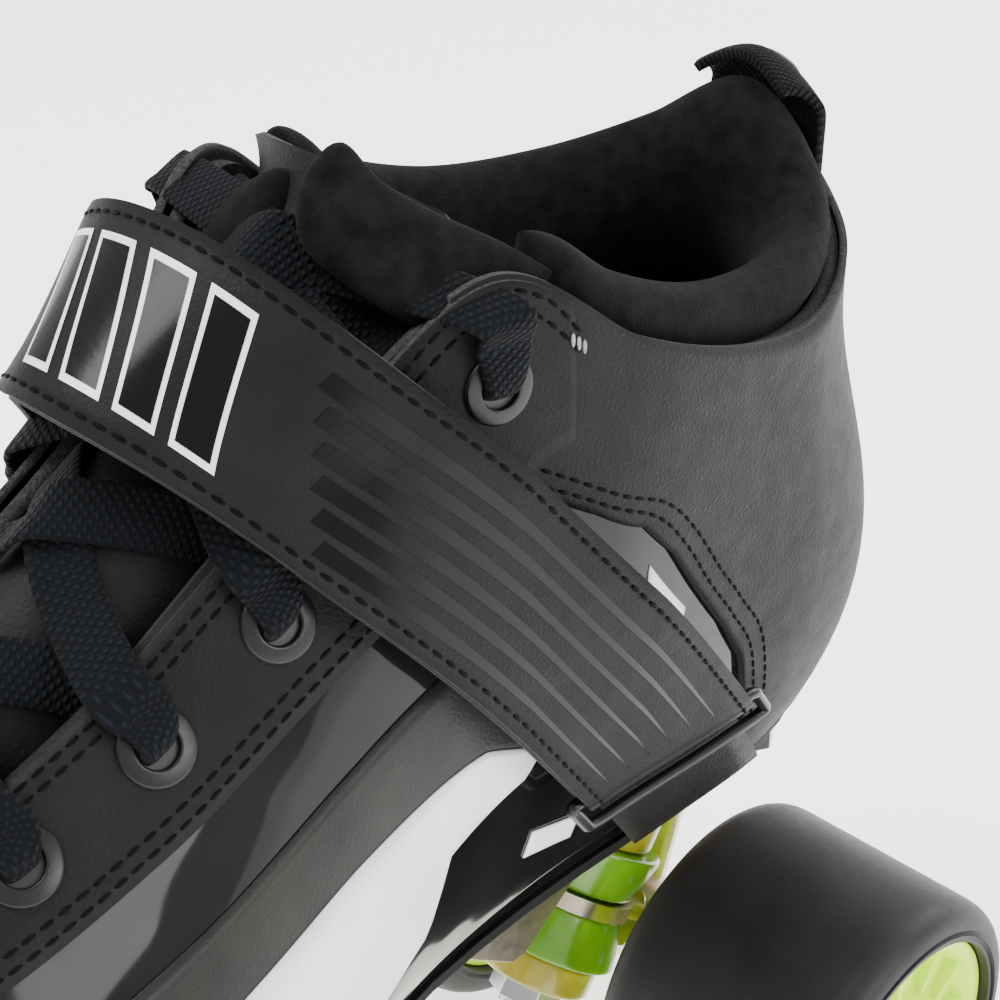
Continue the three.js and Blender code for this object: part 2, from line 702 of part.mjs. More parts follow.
// A point over the tongue: t from -1 to 1 across it, lifted off its outer face.
function tonguePoint(s, t, lift) {
  const [x, z, half, droop] = tongueRow(s);
  const [x0, z0] = tongueRow(Math.max(s - 0.05, 0));
  const [x1, z1] = tongueRow(Math.min(s + 0.05, TONGUE_LAST));
  const n = new THREE.Vector3(z1 - z0, 0, x0 - x1).normalize();
  return new THREE.Vector3(x, half * t, z).addScaledVector(n, lift - droop * t * t);
}

function tongue() {
  const across = spread(-1, 1, 8);
  const rows = spread(0, TONGUE_LAST, 2 * TONGUE_LAST).map((s) => across.map((t) => [
    tonguePoint(s, t, 0), tonguePoint(s, t, -TONGUE_T * (1 - 0.45 * t * t))]));
  return thickSheet(rows);
}

// ---- lace: one flat lace, up through every eyelet and crossed over the tongue ----
const LACE_W = 5.4;
const LACE_T = 1;
const LACE_BUNCHED = [3.4, 1.5];   // width and thickness where it goes through an eyelet
const LACE_LIFT = 1.4;
const OPEN = 0;
const BUNCHED = 1;

// A lace point: its place, the way the flat lace's width lies there, and how far it is bunched.
function onWall(side, u, v, lift, bunched) {
  const wide = wallPoint(side, u + 0.01, v).sub(wallPoint(side, u - 0.01, v)).normalize();
  return { p: offsetPoint(side, u, v, lift), wide, bunched };
}

function onTongue(s, t, lift) {
  const wide = tonguePoint(Math.max(s - 0.1, 0), t, 0).sub(tonguePoint(s + 0.1, t, 0)).normalize();
  const [, , half, droop] = tongueRow(s);
  const steep = Math.hypot(1, (2 * droop * t) / half);
  return { p: tonguePoint(s, t, lift * steep), wide, bunched: OPEN };
}

// The place along the tongue's ridge that lies nearest to the rim above an eyelet.
function tongueBeside([u]) {
  const rim = wallPoint(1, u, 0.96);
  const far = (s) => Math.hypot(tongueRow(s)[0] - rim.x, tongueRow(s)[1] - rim.z);
  return spread(0, TONGUE_LAST - 0.2, 120).reduce((best, s) => (far(s) < far(best) ? s : best));
}

// Over the tongue towards the other side, at each given place across it.
function overTongue(side, ts, from, to, lift) {
  const [sa, sb] = [tongueBeside(from), tongueBeside(to)];
  return ts.map((t) => onTongue(sa + ((sb - sa) * (0.8 - t)) / 1.6, side * t, t === 0 ? lift : LACE_LIFT));
}

// Up out of an eyelet and over the rim.
function outOfEyelet(side, [u, v]) {
  const top = OVERLAY_LIFT + OVERLAY_T;
  return [
    onWall(side, u, v, -SHELL_T / 2, BUNCHED),
    onWall(side, u, v + 0.005, top + 0.7, BUNCHED),
    onWall(side, u, v + 0.05, top + LACE_LIFT, OPEN),
    onWall(side, u + 0.004, 0.99, top + LACE_LIFT, OPEN),
  ];
}

// Under the rim and below an eyelet.
function underEyelet(side, [u, v]) {
  return [
    onWall(side, u + 0.004, 0.98, -SHELL_T - 2, OPEN),
    onWall(side, u, v + 0.05, -SHELL_T - 1.5, OPEN),
    onWall(side, u, v + 0.005, -SHELL_T - 1.5, BUNCHED),
  ];
}

// From one side's bottom eyelet up, crossing at every step, to a top one; the end is tucked in.
function laceHalf(first) {
  const points = [];
  EYELETS.forEach((eyelet, i) => {
    const side = i % 2 ? -first : first;
    const next = EYELETS[i + 1] ?? [eyelet[0] + 0.03, 0.9];
    const lift = first > 0 ? LACE_LIFT : LACE_LIFT + LACE_T + 0.5;
    points.push(...outOfEyelet(side, eyelet), ...overTongue(side, [0.4, 0, -0.4, -0.72], eyelet, next, lift),
      ...underEyelet(-side, next));
  });
  return points;
}

function laceRoute() {
  const bar = overTongue(1, [0.72, 0.4, 0, -0.4, -0.72], EYELETS[0], EYELETS[0], LACE_LIFT);
  return [
    ...laceHalf(1).reverse(), ...underEyelet(1, EYELETS[0]).reverse(), ...bar,
    ...underEyelet(-1, EYELETS[0]), ...laceHalf(-1),
  ];
}

function lace() {
  const route = laceRoute();
  const last = route.length - 1;
  const at = (i) => route[Math.min(Math.max(i, 0), last)];
  const centre = (s) => {
    const i = Math.min(Math.floor(s), last - 1);
    const [a, b, c, d] = [i - 1, i, i + 1, i + 2].map((j) => at(j).p.toArray());
    return new THREE.Vector3(...b.map((_, k) => spline(a[k], b[k], c[k], d[k], s - i)));
  };
  const sections = spread(0, last, 2 * last).map((s) => {
    const along = centre(Math.min(s + 0.1, last)).sub(centre(Math.max(s - 0.1, 0))).normalize();
    const [i, k] = [Math.floor(s), s - Math.floor(s)];
    const wide = at(i).wide.clone().lerp(at(i + 1).wide, k);
    wide.addScaledVector(along, -wide.dot(along)).normalize();
    const high = wide.clone().cross(along);
    const bunched = at(i).bunched * (1 - k) + at(i + 1).bunched * k;
    const [w, t] = [LACE_W, LACE_T].map((open, j) => (open + (LACE_BUNCHED[j] - open) * bunched) / 2);
    const outline = [[w, -t / 2], [w, t / 2], [w * 0.7, t], [-w * 0.7, t], [-w, t / 2], [-w, -t / 2],
      [-w * 0.7, -t], [w * 0.7, -t]];
    return outline.map(([a, b]) => centre(s).addScaledVector(wide, a).addScaledVector(high, b));
  });
  return loft(sections);
}

// ---- instep strap: it lies in one slanted band round the instep ----
const BAND_CENTRE = new THREE.Vector3(-65, 0, 108);
const BAND_ACROSS = new THREE.Vector3(-0.79, 0, 0.61).normalize();
const BAND_RIDGE = new THREE.Vector3(-3, 0, 187);

// Where the band's middle plane, moved by an offset across it, meets the wall at height v.
function bandU(v, across) {
  const plane = (u) => wallPoint(1, u, v).sub(BAND_CENTRE).dot(BAND_ACROSS) - across;
  let [lo, hi] = [0.1, 0.72];
  for (let i = 0; i < 30; i += 1) {
    const mid = (lo + hi) / 2;
    if (plane(mid) > 0) lo = mid;
    else hi = mid;
  }
  return (lo + hi) / 2;
}

function bandPoint(side, v, across, lift) {
  return offsetPoint(side, bandU(v, across), v, lift);
}

// The band's line over the foot: t from -1 (inner side) over the ridge at 0 to 1 (outer side).
const OVER_RIDGE = 0.34;

function bandLine(t, across, lift) {
  const side = t < 0 ? -1 : 1;
  const a = Math.abs(t);
  const edge = 0.93;
  if (a > OVER_RIDGE) {
    const v = edge * (1 - (a - OVER_RIDGE) / (1 - OVER_RIDGE));
    return bandPoint(side, Math.max(v, 0.01), across, lift);
  }
  const foot = bandPoint(side, edge, across, lift);
  const before = bandPoint(side, edge - 0.04, across, lift);
  const top = BAND_RIDGE.clone().addScaledVector(BAND_ACROSS, across).addScaledVector(
    new THREE.Vector3(0.61, 0, 0.79), lift - 3);
  const k = a / OVER_RIDGE;
  const pull = foot.clone().sub(before).normalize().multiplyScalar(foot.distanceTo(top) * 0.45);
  const curve = new THREE.CubicBezierCurve3(
    top, top.clone().add(new THREE.Vector3(0, foot.y / 2, 0)), foot.clone().add(pull), foot);
  const p = curve.getPoint(k);
  if (a === 0) p.y = 0;
  return p;
}

function band(t0, t1, lift, thick, steps) {
  const rows = [];
  const half = STRAP_W / 2;
  for (let i = 0; i <= steps; i += 1) {
    const t = t0 + ((t1 - t0) * i) / steps;
    const line = [];
    for (let j = 0; j <= 2; j += 1) {
      const across = half * (j - 1);
      line.push([bandLine(t, across, lift + thick), bandLine(t, across, lift)]);
    }
    rows.push(line);
  }
  return thickSheet(rows);
}

const RING_T_AT = 0.80;          // the ring's place along the band
const STRAP_LIFT = 4.4;
const FLAP_LIFT = STRAP_LIFT + STRAP_T + 0.5;
const FLAP_END_T = 0.745;         // the flap's own part of the strap starts just above the fold

// The ring: a flattened wire loop that the strap folds through.
const RING_WIRE_R = 1.4;

function strapRing() {
  const half = STRAP_W / 2 + 2.4;
  const corner = (t, s) => bandLine(t, s * half, STRAP_LIFT + 2).toArray();
  const [upper, lower] = [RING_T_AT + 0.05, RING_T_AT + 0.12];
  const corners = [corner(upper, -1), corner(upper, 1), corner(lower, 1), corner(lower, -1)];
  const r = RING_WIRE_R;
  const wires = corners.map((from, i) => rod(from, corners[(i + 1) % 4], r, r, 6));
  return toGeometry(join([...wires, ...corners.map(ball)]));
}

function ball(at) {
  const geometry = new THREE.SphereGeometry(RING_WIRE_R * 1.03, 6, 5);
  geometry.translate(...at);
  return geometry;
}

// ---- pull tab: a strip folded over the top of the heel ----
// Faces over the collar as lists of [inwards, up] from the top line.
const TAB_HALF_U = 0.045;
const TAB_T = 1.7;
const TAB_OUTSIDE_V = [0.6, 0.7, 0.8, 0.9, 1];
const TAB_OVER_OUTER = [[-1.6, 7], [1.5, 12], [6.5, 14], [12, 12.6], [15.6, 6], [16.4, 0.2]];
const TAB_OVER_INNER = [[0.4, 6.2], [2.4, 10.2], [6.5, 12], [11, 10.8], [13.7, 5.4], [14.2, 0.2]];

function pullTab() {
  const outside = (side, u) => TAB_OUTSIDE_V.map((v) => [
    offsetPoint(side, u, v, TAB_T + GAP), offsetPoint(side, u, v, GAP)]);
  const over = (side, u) => TAB_OVER_OUTER.map((outer, i) => [
    fromTopLine(side, u, ...outer), fromTopLine(side, u, ...TAB_OVER_INNER[i])]);
  const rows = [-1, -0.5, 0, 0.5, 1].map((t) => {
    const side = t < 0 ? -1 : 1;
    const u = Math.abs(t) * TAB_HALF_U;
    return [...outside(side, u), ...over(side, u)];
  });
  return thickSheet(rows);
}

// ---- the skate, from the ground up ----
const wheelInner = WHEEL_GAP / 2;
const AXLES = [['front', FRONT_AXLE_X, -1], ['rear', REAR_AXLE_X, 1]];
AXLES.forEach(([name, x, facing]) => {
  wheel(`${name}_outer_wheel`, x, wheelInner);
  wheel(`${name}_inner_wheel`, x, -wheelInner - WHEEL_W);
  truck(`${name}_truck`, x, facing);
  axleNut(`${name}_outer_axle_nut`, x, 1);
  axleNut(`${name}_inner_axle_nut`, x, -1);
});

add('plate', plate(), CHAMPAGNE);
BOLTS.forEach((at, i) => add(`mounting_bolt_${i + 1}`, mountingBolt(at), STEEL));
add('toe_stop', toeStop(), RUBBER);
add('toe_stop_stem', rod(onStem(STEM_TOP), onStem(STOP_AT + STEM_IN_STOP), STEM_R, STEM_R, 24), STEEL);
add('toe_stop_lock_nut', toeStopNut(), STEEL);

add('outsole', sole(), LEATHER);
add('boot_upper', bootUpper(), LEATHER);
add('insole', insole(), SUEDE);
add('collar_padding', collarRoll(), SUEDE);
add('tongue', tongue(), LEATHER);
add('lace', lace(), LACE);
add('heel_counter', heelCounter(), LEATHER);
add('outer_eyestay', eyestay(1), LEATHER);
add('inner_eyestay', eyestay(-1), LEATHER);
add('outer_side_panel', sidePanel(1), PATENT);
add('inner_side_panel', sidePanel(-1), PATENT);
add('pull_tab', pullTab(), LACE);
add('instep_strap', band(-0.985, RING_T_AT, STRAP_LIFT, STRAP_T, 30), LEATHER);
add('strap_flap', band(-0.12, FLAP_END_T, FLAP_LIFT, STRAP_T, 22), LEATHER);
add('strap_ring', strapRing(), GUNMETAL);
add('ring_tab', band(RING_T_AT + 0.135, 0.985, 3, 1.2, 6), LEATHER);

export default skate;
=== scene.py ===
import functools
import math

import bmesh
import bpy
from mathutils import Matrix, Vector


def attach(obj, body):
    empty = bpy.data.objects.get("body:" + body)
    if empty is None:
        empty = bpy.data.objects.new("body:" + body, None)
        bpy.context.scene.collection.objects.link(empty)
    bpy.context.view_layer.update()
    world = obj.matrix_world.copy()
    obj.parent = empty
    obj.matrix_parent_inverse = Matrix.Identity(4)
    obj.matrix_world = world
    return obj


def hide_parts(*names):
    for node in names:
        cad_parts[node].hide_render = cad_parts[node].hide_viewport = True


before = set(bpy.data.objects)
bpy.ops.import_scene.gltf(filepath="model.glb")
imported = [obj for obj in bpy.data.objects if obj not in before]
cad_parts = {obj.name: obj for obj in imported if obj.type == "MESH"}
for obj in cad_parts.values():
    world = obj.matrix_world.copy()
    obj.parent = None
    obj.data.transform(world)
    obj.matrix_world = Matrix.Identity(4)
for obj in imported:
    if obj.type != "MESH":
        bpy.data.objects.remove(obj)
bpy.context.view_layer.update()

MM = 0.001

# ---- Camera, floor and lights ----
# One camera above the outer side of the toe, looking back and down at the heel half.
# A pale floor under two soft boxes and a white sky, as in a plain product studio.
look_from = Vector((0.1499, 0.2035, 0.3242))
look_back = Vector((0.6158, 0.5730, 0.5407))

lens = bpy.data.cameras.new("camera")
lens.lens = 85.18
lens.sensor_width = 36
lens.clip_start = 0.01
camera = bpy.data.objects.new("camera", lens)
camera.location = look_from
camera.rotation_euler = look_back.to_track_quat("Z", "Y").to_euler()
bpy.context.scene.collection.objects.link(camera)
bpy.context.scene.camera = camera


def new_material(name, colour, roughness, metallic=0.0):
    material = bpy.data.materials.new(name)
    material.use_nodes = True
    shader = material.node_tree.nodes["Principled BSDF"]
    shader.inputs["Base Color"].default_value = (*colour, 1)
    shader.inputs["Roughness"].default_value = roughness
    shader.inputs["Metallic"].default_value = metallic
    return material, material.node_tree, shader


def node(tree, kind, **values):
    made = tree.nodes.new(kind)
    for key, value in values.items():
        if key in made.inputs:
            made.inputs[key].default_value = value
        else:
            setattr(made, key, value)
    return made


def noise(tree, scale, detail=4):
    place = node(tree, "ShaderNodeTexCoord")
    made = node(tree, "ShaderNodeTexNoise", Scale=scale, Detail=detail)
    tree.links.new(place.outputs["Object"], made.inputs["Vector"])
    return made.outputs["Fac"]


def vary(tree, shader, fac, low, high):
    ramp = node(tree, "ShaderNodeValToRGB")
    ramp.color_ramp.elements[0].position = 0.3
    ramp.color_ramp.elements[1].position = 0.7
    ramp.color_ramp.elements[0].color = (*low, 1)
    ramp.color_ramp.elements[1].color = (*high, 1)
    tree.links.new(fac, ramp.inputs["Fac"])
    tree.links.new(ramp.outputs["Color"], shader.inputs["Base Color"])


def floor_finish():
    material, tree, shader = new_material("pale_floor", (0.93, 0.93, 0.93), 0.6)
    shader.inputs["Emission Color"].default_value = (1, 1, 1, 1)
    shader.inputs["Emission Strength"].default_value = 1.8
    vary(tree, shader, noise(tree, 6), (0.92, 0.92, 0.92), (0.94, 0.94, 0.94))
    return material


def place_object(name, bm, materials, body=None):
    mesh = bpy.data.meshes.new(name)
    bm.to_mesh(mesh)
    bm.free()
    piece = bpy.data.objects.new(name, mesh)
    for material in materials:
        mesh.materials.append(material)
    bpy.context.scene.collection.objects.link(piece)
    if body:
        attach(piece, body)
    return piece


ground = bmesh.new()
bmesh.ops.create_grid(ground, x_segments=2, y_segments=2, size=4)
place_object("floor", ground, [floor_finish()])

sky = bpy.data.worlds.new("sky")
sky.use_nodes = True
sky.node_tree.nodes["Background"].inputs["Color"].default_value = (1, 1, 1, 1)
sky.node_tree.nodes["Background"].inputs["Strength"].default_value = 1.15
bpy.context.scene.world = sky


def soft_box(name, at, aim, size, power):
    light = bpy.data.lights.new(name, "AREA")
    light.size = size
    light.energy = power
    box = bpy.data.objects.new(name, light)
    box.location = at
    box.rotation_euler = (Vector(at) - Vector(aim)).to_track_quat("Z", "Y").to_euler()
    bpy.context.scene.collection.objects.link(box)


soft_box("over_light", (0.25, -0.25, 0.9), (0, 0, 0.1), 0.5, 9)
soft_box("outer_light", (-0.25, 0.9, 0.55), (-0.05, 0, 0.1), 0.45, 5)
soft_box("heel_light", (-0.9, 0.1, 0.5), (-0.1, 0, 0.12), 0.4, 4)

# ---- Wheels ----
# A cast polyurethane tyre on a bright moulded hub with thin ribs, two shielded ball
# bearings pressed in it. The wheel spins on its bearings; a lock nut holds it on.
WHEEL_R = 31
WHEEL_W = 43.5
HALF_GAP = 19.5
AXLE_Z = 31
AXLES = {"front": (65, -1), "rear": (-100, 1)}
BEARING_IN = 8
BEARING_W = 7
RIB_COUNT = 12
RIB_IN = 4.4


def round_corners(corners, radii, steps=4):
    made = []
    for i, corner in enumerate(corners):
        here = Vector(corner)
        before = (Vector(corners[i - 1]) - here)
        after = (Vector(corners[(i + 1) % len(corners)]) - here)
        r = radii[i]
        if r == 0:
            made.append(here)
            continue
        a = here + before.normalized() * r
        b = here + after.normalized() * r
        for k in range(steps + 1):
            t = k / steps
            made.append(a * (1 - t) ** 2 + here * 2 * t * (1 - t) + b * t * t)
    return made


def turn(outline, sides):
    """A closed [radius, along] outline spun round +Y."""
    bm = bmesh.new()
    verts = [bm.verts.new((r, y, 0)) for r, y in outline]
    edges = [bm.edges.new((verts[i], verts[(i + 1) % len(verts)])) for i in range(len(verts))]
    bmesh.ops.spin(bm, geom=verts + edges, cent=(0, 0, 0), axis=(0, 1, 0),
                   angle=2 * math.pi, steps=sides, use_merge=True)
    bmesh.ops.remove_doubles(bm, verts=bm.verts, dist=1e-4)
    bmesh.ops.recalc_face_normals(bm, faces=bm.faces)
    for face in bm.faces:
        face.smooth = True
    return bm


def crisp(bm, degrees=38):
    for edge in bm.edges:
        if len(edge.link_faces) == 2 and edge.calc_face_angle(0) > math.radians(degrees):
            edge.smooth = False


def move(bm, matrix):
    bmesh.ops.transform(bm, matrix=matrix, verts=bm.verts)
    bmesh.ops.scale(bm, vec=(MM, MM, MM), verts=bm.verts)


def rough_range(tree, shader, fac, low, high):
    spread = node(tree, "ShaderNodeMapRange")
    spread.inputs["To Min"].default_value = low
    spread.inputs["To Max"].default_value = high
    tree.links.new(fac, spread.inputs["Value"])
    tree.links.new(spread.outputs["Result"], shader.inputs["Roughness"])


def bump(tree, shader, *layers):
    below = None
    for height, strength, depth in layers:
        made = node(tree, "ShaderNodeBump", Strength=strength, Distance=depth)
        tree.links.new(height, made.inputs["Height"])
        if below:
            tree.links.new(below, made.inputs["Normal"])
        below = made.outputs["Normal"]
    tree.links.new(below, shader.inputs["Normal"])


def finish(name, colour, roughness, metallic=0.0, tones=None, rough=None, grain=(), specular=None):
    """A finish from noise: tones and rough are scale, low, high; grain is scale, strength, depth."""
    material, tree, shader = new_material(name, colour, roughness, metallic)
    if tones:
        vary(tree, shader, noise(tree, tones[0]), *tones[1:])
    if rough:
        rough_range(tree, shader, noise(tree, rough[0]), *rough[1:])
    if grain:
        bump(tree, shader, *((noise(tree, scale), strength, depth) for scale, strength, depth in grain))
    if specular is not None:
        shader.inputs["Specular IOR Level"].default_value = specular
    return material


tyre_look = finish("tyre_polyurethane", (0.02, 0.02, 0.02), 0.45, specular=0.28,
                   tones=(90, (0.012, 0.012, 0.0125), (0.020, 0.020, 0.0205)),
                   rough=(700, 0.42, 0.6), grain=[(2400, 0.25, 0.00012)])
hub_look = finish("hub_neon_yellow", (0.66, 0.90, 0.0), 0.4, grain=[(1800, 0.12, 0.0001)],
                  tones=(120, (0.60, 0.86, 0.0), (0.72, 0.95, 0.0)))
steel_look = finish("turned_steel", (0.58, 0.59, 0.60), 0.28, 1.0, rough=(900, 0.2, 0.42),
                    grain=[(3000, 0.15, 0.00008)])
seal_look = finish("bearing_seal", (0.015, 0.015, 0.016), 0.5,
                   tones=(400, (0.012, 0.012, 0.012), (0.025, 0.025, 0.025)))


def tyre_outline():
    corners = [(24.8, 0.3), (26.4, 0), (WHEEL_R, 0), (WHEEL_R, WHEEL_W), (26.4, WHEEL_W),
               (24.8, WHEEL_W - 0.3)]
    return round_corners(corners, [0.3, 0.6, 5.5, 5.5, 0.6, 0.3], 7)


def hub_outline():
    one = [(11.15, 2.4), (13.2, 2.0), (14.4, 4.6), (20.6, 5.6), (22.4, 2.2), (24.6, 2.0)]
    other = [(r, WHEEL_W - y) for r, y in reversed(one)]
    inner = [(11.15, 28.2), (7, 27.6), (7, 15.9), (11.15, 15.3)]
    corners = one + other + inner
    return round_corners(corners, [0.4] * len(corners), 3)


def hub_rib(angle, y):
    rib = bmesh.new()
    bmesh.ops.create_cube(rib, size=1)
    bmesh.ops.scale(rib, vec=(7.2, 3.0, 1.1), verts=rib.verts)
    bmesh.ops.bevel(rib, geom=rib.edges, offset=0.35, segments=2, affect="EDGES", profile=0.5,
                    material=-1)
    bmesh.ops.translate(rib, vec=(17.6, y, 0), verts=rib.verts)
    bmesh.ops.rotate(rib, cent=(0, 0, 0), matrix=Matrix.Rotation(angle, 3, "Y"), verts=rib.verts)
    return rib


def add_mesh(bm, extra):
    spare = bpy.data.meshes.new("spare")
    extra.to_mesh(spare)
    extra.free()
    bm.from_mesh(spare)
    bpy.data.meshes.remove(spare)


def bearing_outline():
    near = [(4.1, 0), (6.1, 0), (6.3, 0.6), (9.2, 0.6), (9.4, 0), (11, 0)]
    far = [(r, BEARING_W - y) for r, y in reversed(near)]
    corners = near + far
    return round_corners(corners, [0.25] * len(corners), 2)


def wheel(name, x, y0):
    at = Matrix.Translation((x, y0, AXLE_Z))
    tyre = turn(tyre_outline(), 128)
    move(tyre, at)
    made = place_object(f"{name}_cast_tyre", tyre, [tyre_look], name)
    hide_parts(f"{name}_tyre")
    hub = turn(hub_outline(), 96)
    crisp(hub)
    for i in range(RIB_COUNT):
        angle = 2 * math.pi * i / RIB_COUNT
        add_mesh(hub, hub_rib(angle, RIB_IN))
        add_mesh(hub, hub_rib(angle, WHEEL_W - RIB_IN))
    move(hub, at)
    made = place_object(f"{name}_ribbed_hub", hub, [hub_look], name)
    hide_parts(f"{name}_hub")
    for part, y in (("bearing_a", BEARING_IN), ("bearing_b", WHEEL_W - BEARING_IN - BEARING_W)):
        ring = turn(bearing_outline(), 64)
        for face in ring.faces:
            middle = face.calc_center_median()
            face.material_index = 1 if 6.2 < math.hypot(middle.x, middle.z) < 9.3 else 0
        crisp(ring)
        move(ring, at @ Matrix.Translation((0, y, 0)))
        made = place_object(f"{name}_shielded_{part}", ring, [steel_look, seal_look], name)
        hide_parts(f"{name}_{part}")


for end, (x, facing) in AXLES.items():
    wheel(f"{end}_outer_wheel", x, HALF_GAP)
    wheel(f"{end}_inner_wheel", x, -HALF_GAP - WHEEL_W)

# ---- Metal: plate, hangers, bolts, axles and nuts ----
# Cast and machined parts keep the solid's shape; a softened copy rounds every arris.
# Plate and hangers have a light champagne finish, the fasteners are bright steel.


def soften(name, body, look, width=0.4):
    bm = bmesh.new()
    bm.from_mesh(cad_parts[name].data)
    bmesh.ops.remove_doubles(bm, verts=bm.verts, dist=2e-6)
    bmesh.ops.dissolve_limit(bm, angle_limit=math.radians(1), verts=bm.verts, edges=bm.edges)
    for face in bm.faces:
        face.smooth = True
    crisp(bm, 32)
    made = place_object(f"{name}_finished", bm, [look], body)
    edge = made.modifiers.new("arris", "BEVEL")
    edge.width = width * MM
    edge.segments = 2
    edge.limit_method = "ANGLE"
    edge.angle_limit = math.radians(32)
    edge.harden_normals = True
    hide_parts(name)
    return made


champagne_look = finish("champagne_alloy", (0.62, 0.53, 0.42), 0.3, 1.0,
                        tones=(60, (0.58, 0.49, 0.38), (0.68, 0.60, 0.49)), rough=(500, 0.22, 0.42),
                        grain=[(1500, 0.2, 0.0001), (140, 0.15, 0.0004)])
soften("plate", "skate_frame", champagne_look, 0.7)
for end in AXLES:
    soften(f"{end}_truck_hanger", f"{end}_truck", champagne_look, 0.5)
    soften(f"{end}_truck_axle", f"{end}_truck", steel_look, 0.4)
    soften(f"{end}_outer_axle_nut", f"{end}_truck", steel_look, 0.4)
    soften(f"{end}_inner_axle_nut", f"{end}_truck", steel_look, 0.4)
    soften(f"{end}_truck_kingpin", "skate_frame", steel_look, 0.4)
for i in range(4):
    soften(f"mounting_bolt_{i + 1}", "skate_frame", steel_look, 0.4)
soften("toe_stop_lock_nut", "skate_frame", steel_look, 0.5)
soften("toe_stop_stem", "toe_stop", steel_look, 0.4)

# ---- Truck cushions ----
# Urethane bushes stacked on the kingpin: green cushions either side of the hanger's ring,
# waisted towards it, and firmer amber retainers outside them. All are a little see-through.
KINGPIN_LEAN = Vector((0.577, 0, -0.817))
STACK_TOP = Vector((1.4, 0, 29))
CUSHIONS = [
    # name, place down the kingpin, outline [radius, along], corner radii, colour
    ("upper_retainer", 0, [(4.1, 0), (10.3, 0), (10.3, 9.4), (4.1, 9.4)],
     [0.2, 1.2, 1.2, 0.2], "amber"),
    ("upper_cushion", 9.7, [(4.1, 0), (12.8, 0), (12.2, 3.2), (10.4, 9), (4.1, 9)],
     [0.2, 0.9, 2, 0.8, 0.2], "green"),
    ("lower_cushion", 22.3, [(4.1, 0), (10.4, 0), (12.2, 5.8), (12.8, 9), (4.1, 9)],
     [0.2, 0.8, 2, 0.9, 0.2], "green"),
    ("lower_retainer", 31.6, [(4.1, 0), (10.3, 0), (10.3, 6), (4.1, 6)],
     [0.2, 1.2, 1.2, 0.2], "amber"),
]


def urethane(name, low, high):
    material, tree, shader = new_material(name, high, 0.22)
    shader.inputs["Transmission Weight"].default_value = 0.45
    shader.inputs["IOR"].default_value = 1.5
    shader.inputs["Coat Weight"].default_value = 0.3
    vary(tree, shader, noise(tree, 110), low, high)
    bump(tree, shader, (noise(tree, 600), 0.08, 0.0002))
    return material


urethane_looks = {
    "amber": urethane("amber_urethane", (0.55, 0.44, 0.03), (0.72, 0.62, 0.08)),
    "green": urethane("green_urethane", (0.16, 0.48, 0.01), (0.30, 0.66, 0.02)),
}


def truck_frame(x, facing):
    half_turn = Matrix.Rotation(0 if facing > 0 else math.pi, 4, "Z")
    return Matrix.Translation((x, 0, AXLE_Z)) @ half_turn


for end, (x, facing) in AXLES.items():
    for part, at, corners, radii, colour in CUSHIONS:
        bush = turn(round_corners(corners, radii, 5), 72)
        along = Vector((0, 1, 0)).rotation_difference(KINGPIN_LEAN).to_matrix().to_4x4()
        seat = Matrix.Translation(STACK_TOP + KINGPIN_LEAN * at)
        move(bush, truck_frame(x, facing) @ seat @ along)
        made = place_object(f"{end}_{part}_cast", bush, [urethane_looks[colour]], "skate_frame")
        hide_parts(f"{end}_truck_{part}")

# ---- Toe stop ----
# A moulded rubber cone with two grip steps round it and a shallow ring groove in its face,
# on a steel stem that a lock nut holds in the plate.
STOP_AXIS = Vector((0.45, 0, -0.893)).normalized()
STOP_FROM = Vector((104, 0, 66))
stop_corners = [(8.1, 0), (11, 0), (14.6, 5.6), (14.2, 6.4), (16.6, 9.6), (16.2, 10.4), (19, 13.4),
                (20.8, 17.2), (20, 21), (17, 22), (9, 21), (5, 22), (5, 11.5), (8.1, 11.5)]
stop = turn(round_corners(stop_corners, [0.4] * len(stop_corners), 3), 96)
down = Vector((0, 1, 0)).rotation_difference(STOP_AXIS).to_matrix().to_4x4()
move(stop, Matrix.Translation(STOP_FROM + STOP_AXIS * 21) @ down)
rubber_look = finish("stop_rubber", (0.022, 0.022, 0.022), 0.75, grain=[(1400, 0.4, 0.0002)],
                     tones=(200, (0.016, 0.016, 0.016), (0.032, 0.032, 0.031)))
made = place_object("toe_stop_rubber", stop, [rubber_look], "toe_stop")
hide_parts("toe_stop")

# ---- The boot's wall ----
# One wall runs from the sole's edge up to the top line on each side, lasted over a foot form.
# u goes from the middle of the heel (0) to the toe (1), v from the sole (0) to the top line (1).
UPPER_Z = 76.6
WALL_HEIGHT = 95
WALL_T = 2.2
STATIONS = [
    # foot x, y | top x, y, z | foot leans out, rises | top leans out, drops
    (-136, 0, -129, 0, 174, 17, 40, -3, 34),
    (-127, 16, -124, 18, 165, 18, 38, -2, 30),
    (-106, 22, -107, 29, 161, 16, 36, -1, 26),
    (-80, 22, -84, 33, 164, 14, 34, 0, 28),
    (-52, 21, -60, 33, 174, 13, 34, 2, 34),
    (-24, 23, -37, 26, 189, 15, 32, 4, 42),
    (4, 31, -8, 17, 168, 13, 30, 14, 26),
    (31, 39, 22, 16, 152, 10, 27, 17, 16),
    (60, 43, 52, 12, 141, 8, 25, 19, 9),
    (92, 43, 78, 0, 136, 7, 23, 25, 3),
    (121, 35, 106, 0, 128, 6, 21, 22, 3),
    (136.6, 18, 122, 0, 117, 5, 18, 13, 4),
    (142.5, 0, 130.5, 0, 107, 4, 14, 0, 8),
]
LAST = len(STATIONS) - 1
THROAT_U = 9 / LAST


def spline(a, b, c, d, t):
    """A smooth curve from b to c."""
    square = 2 * a - 5 * b + 4 * c - d
    cube = 3 * b - a - 3 * c + d
    return 0.5 * (2 * b + (c - a) * t + square * t * t + cube * t ** 3)


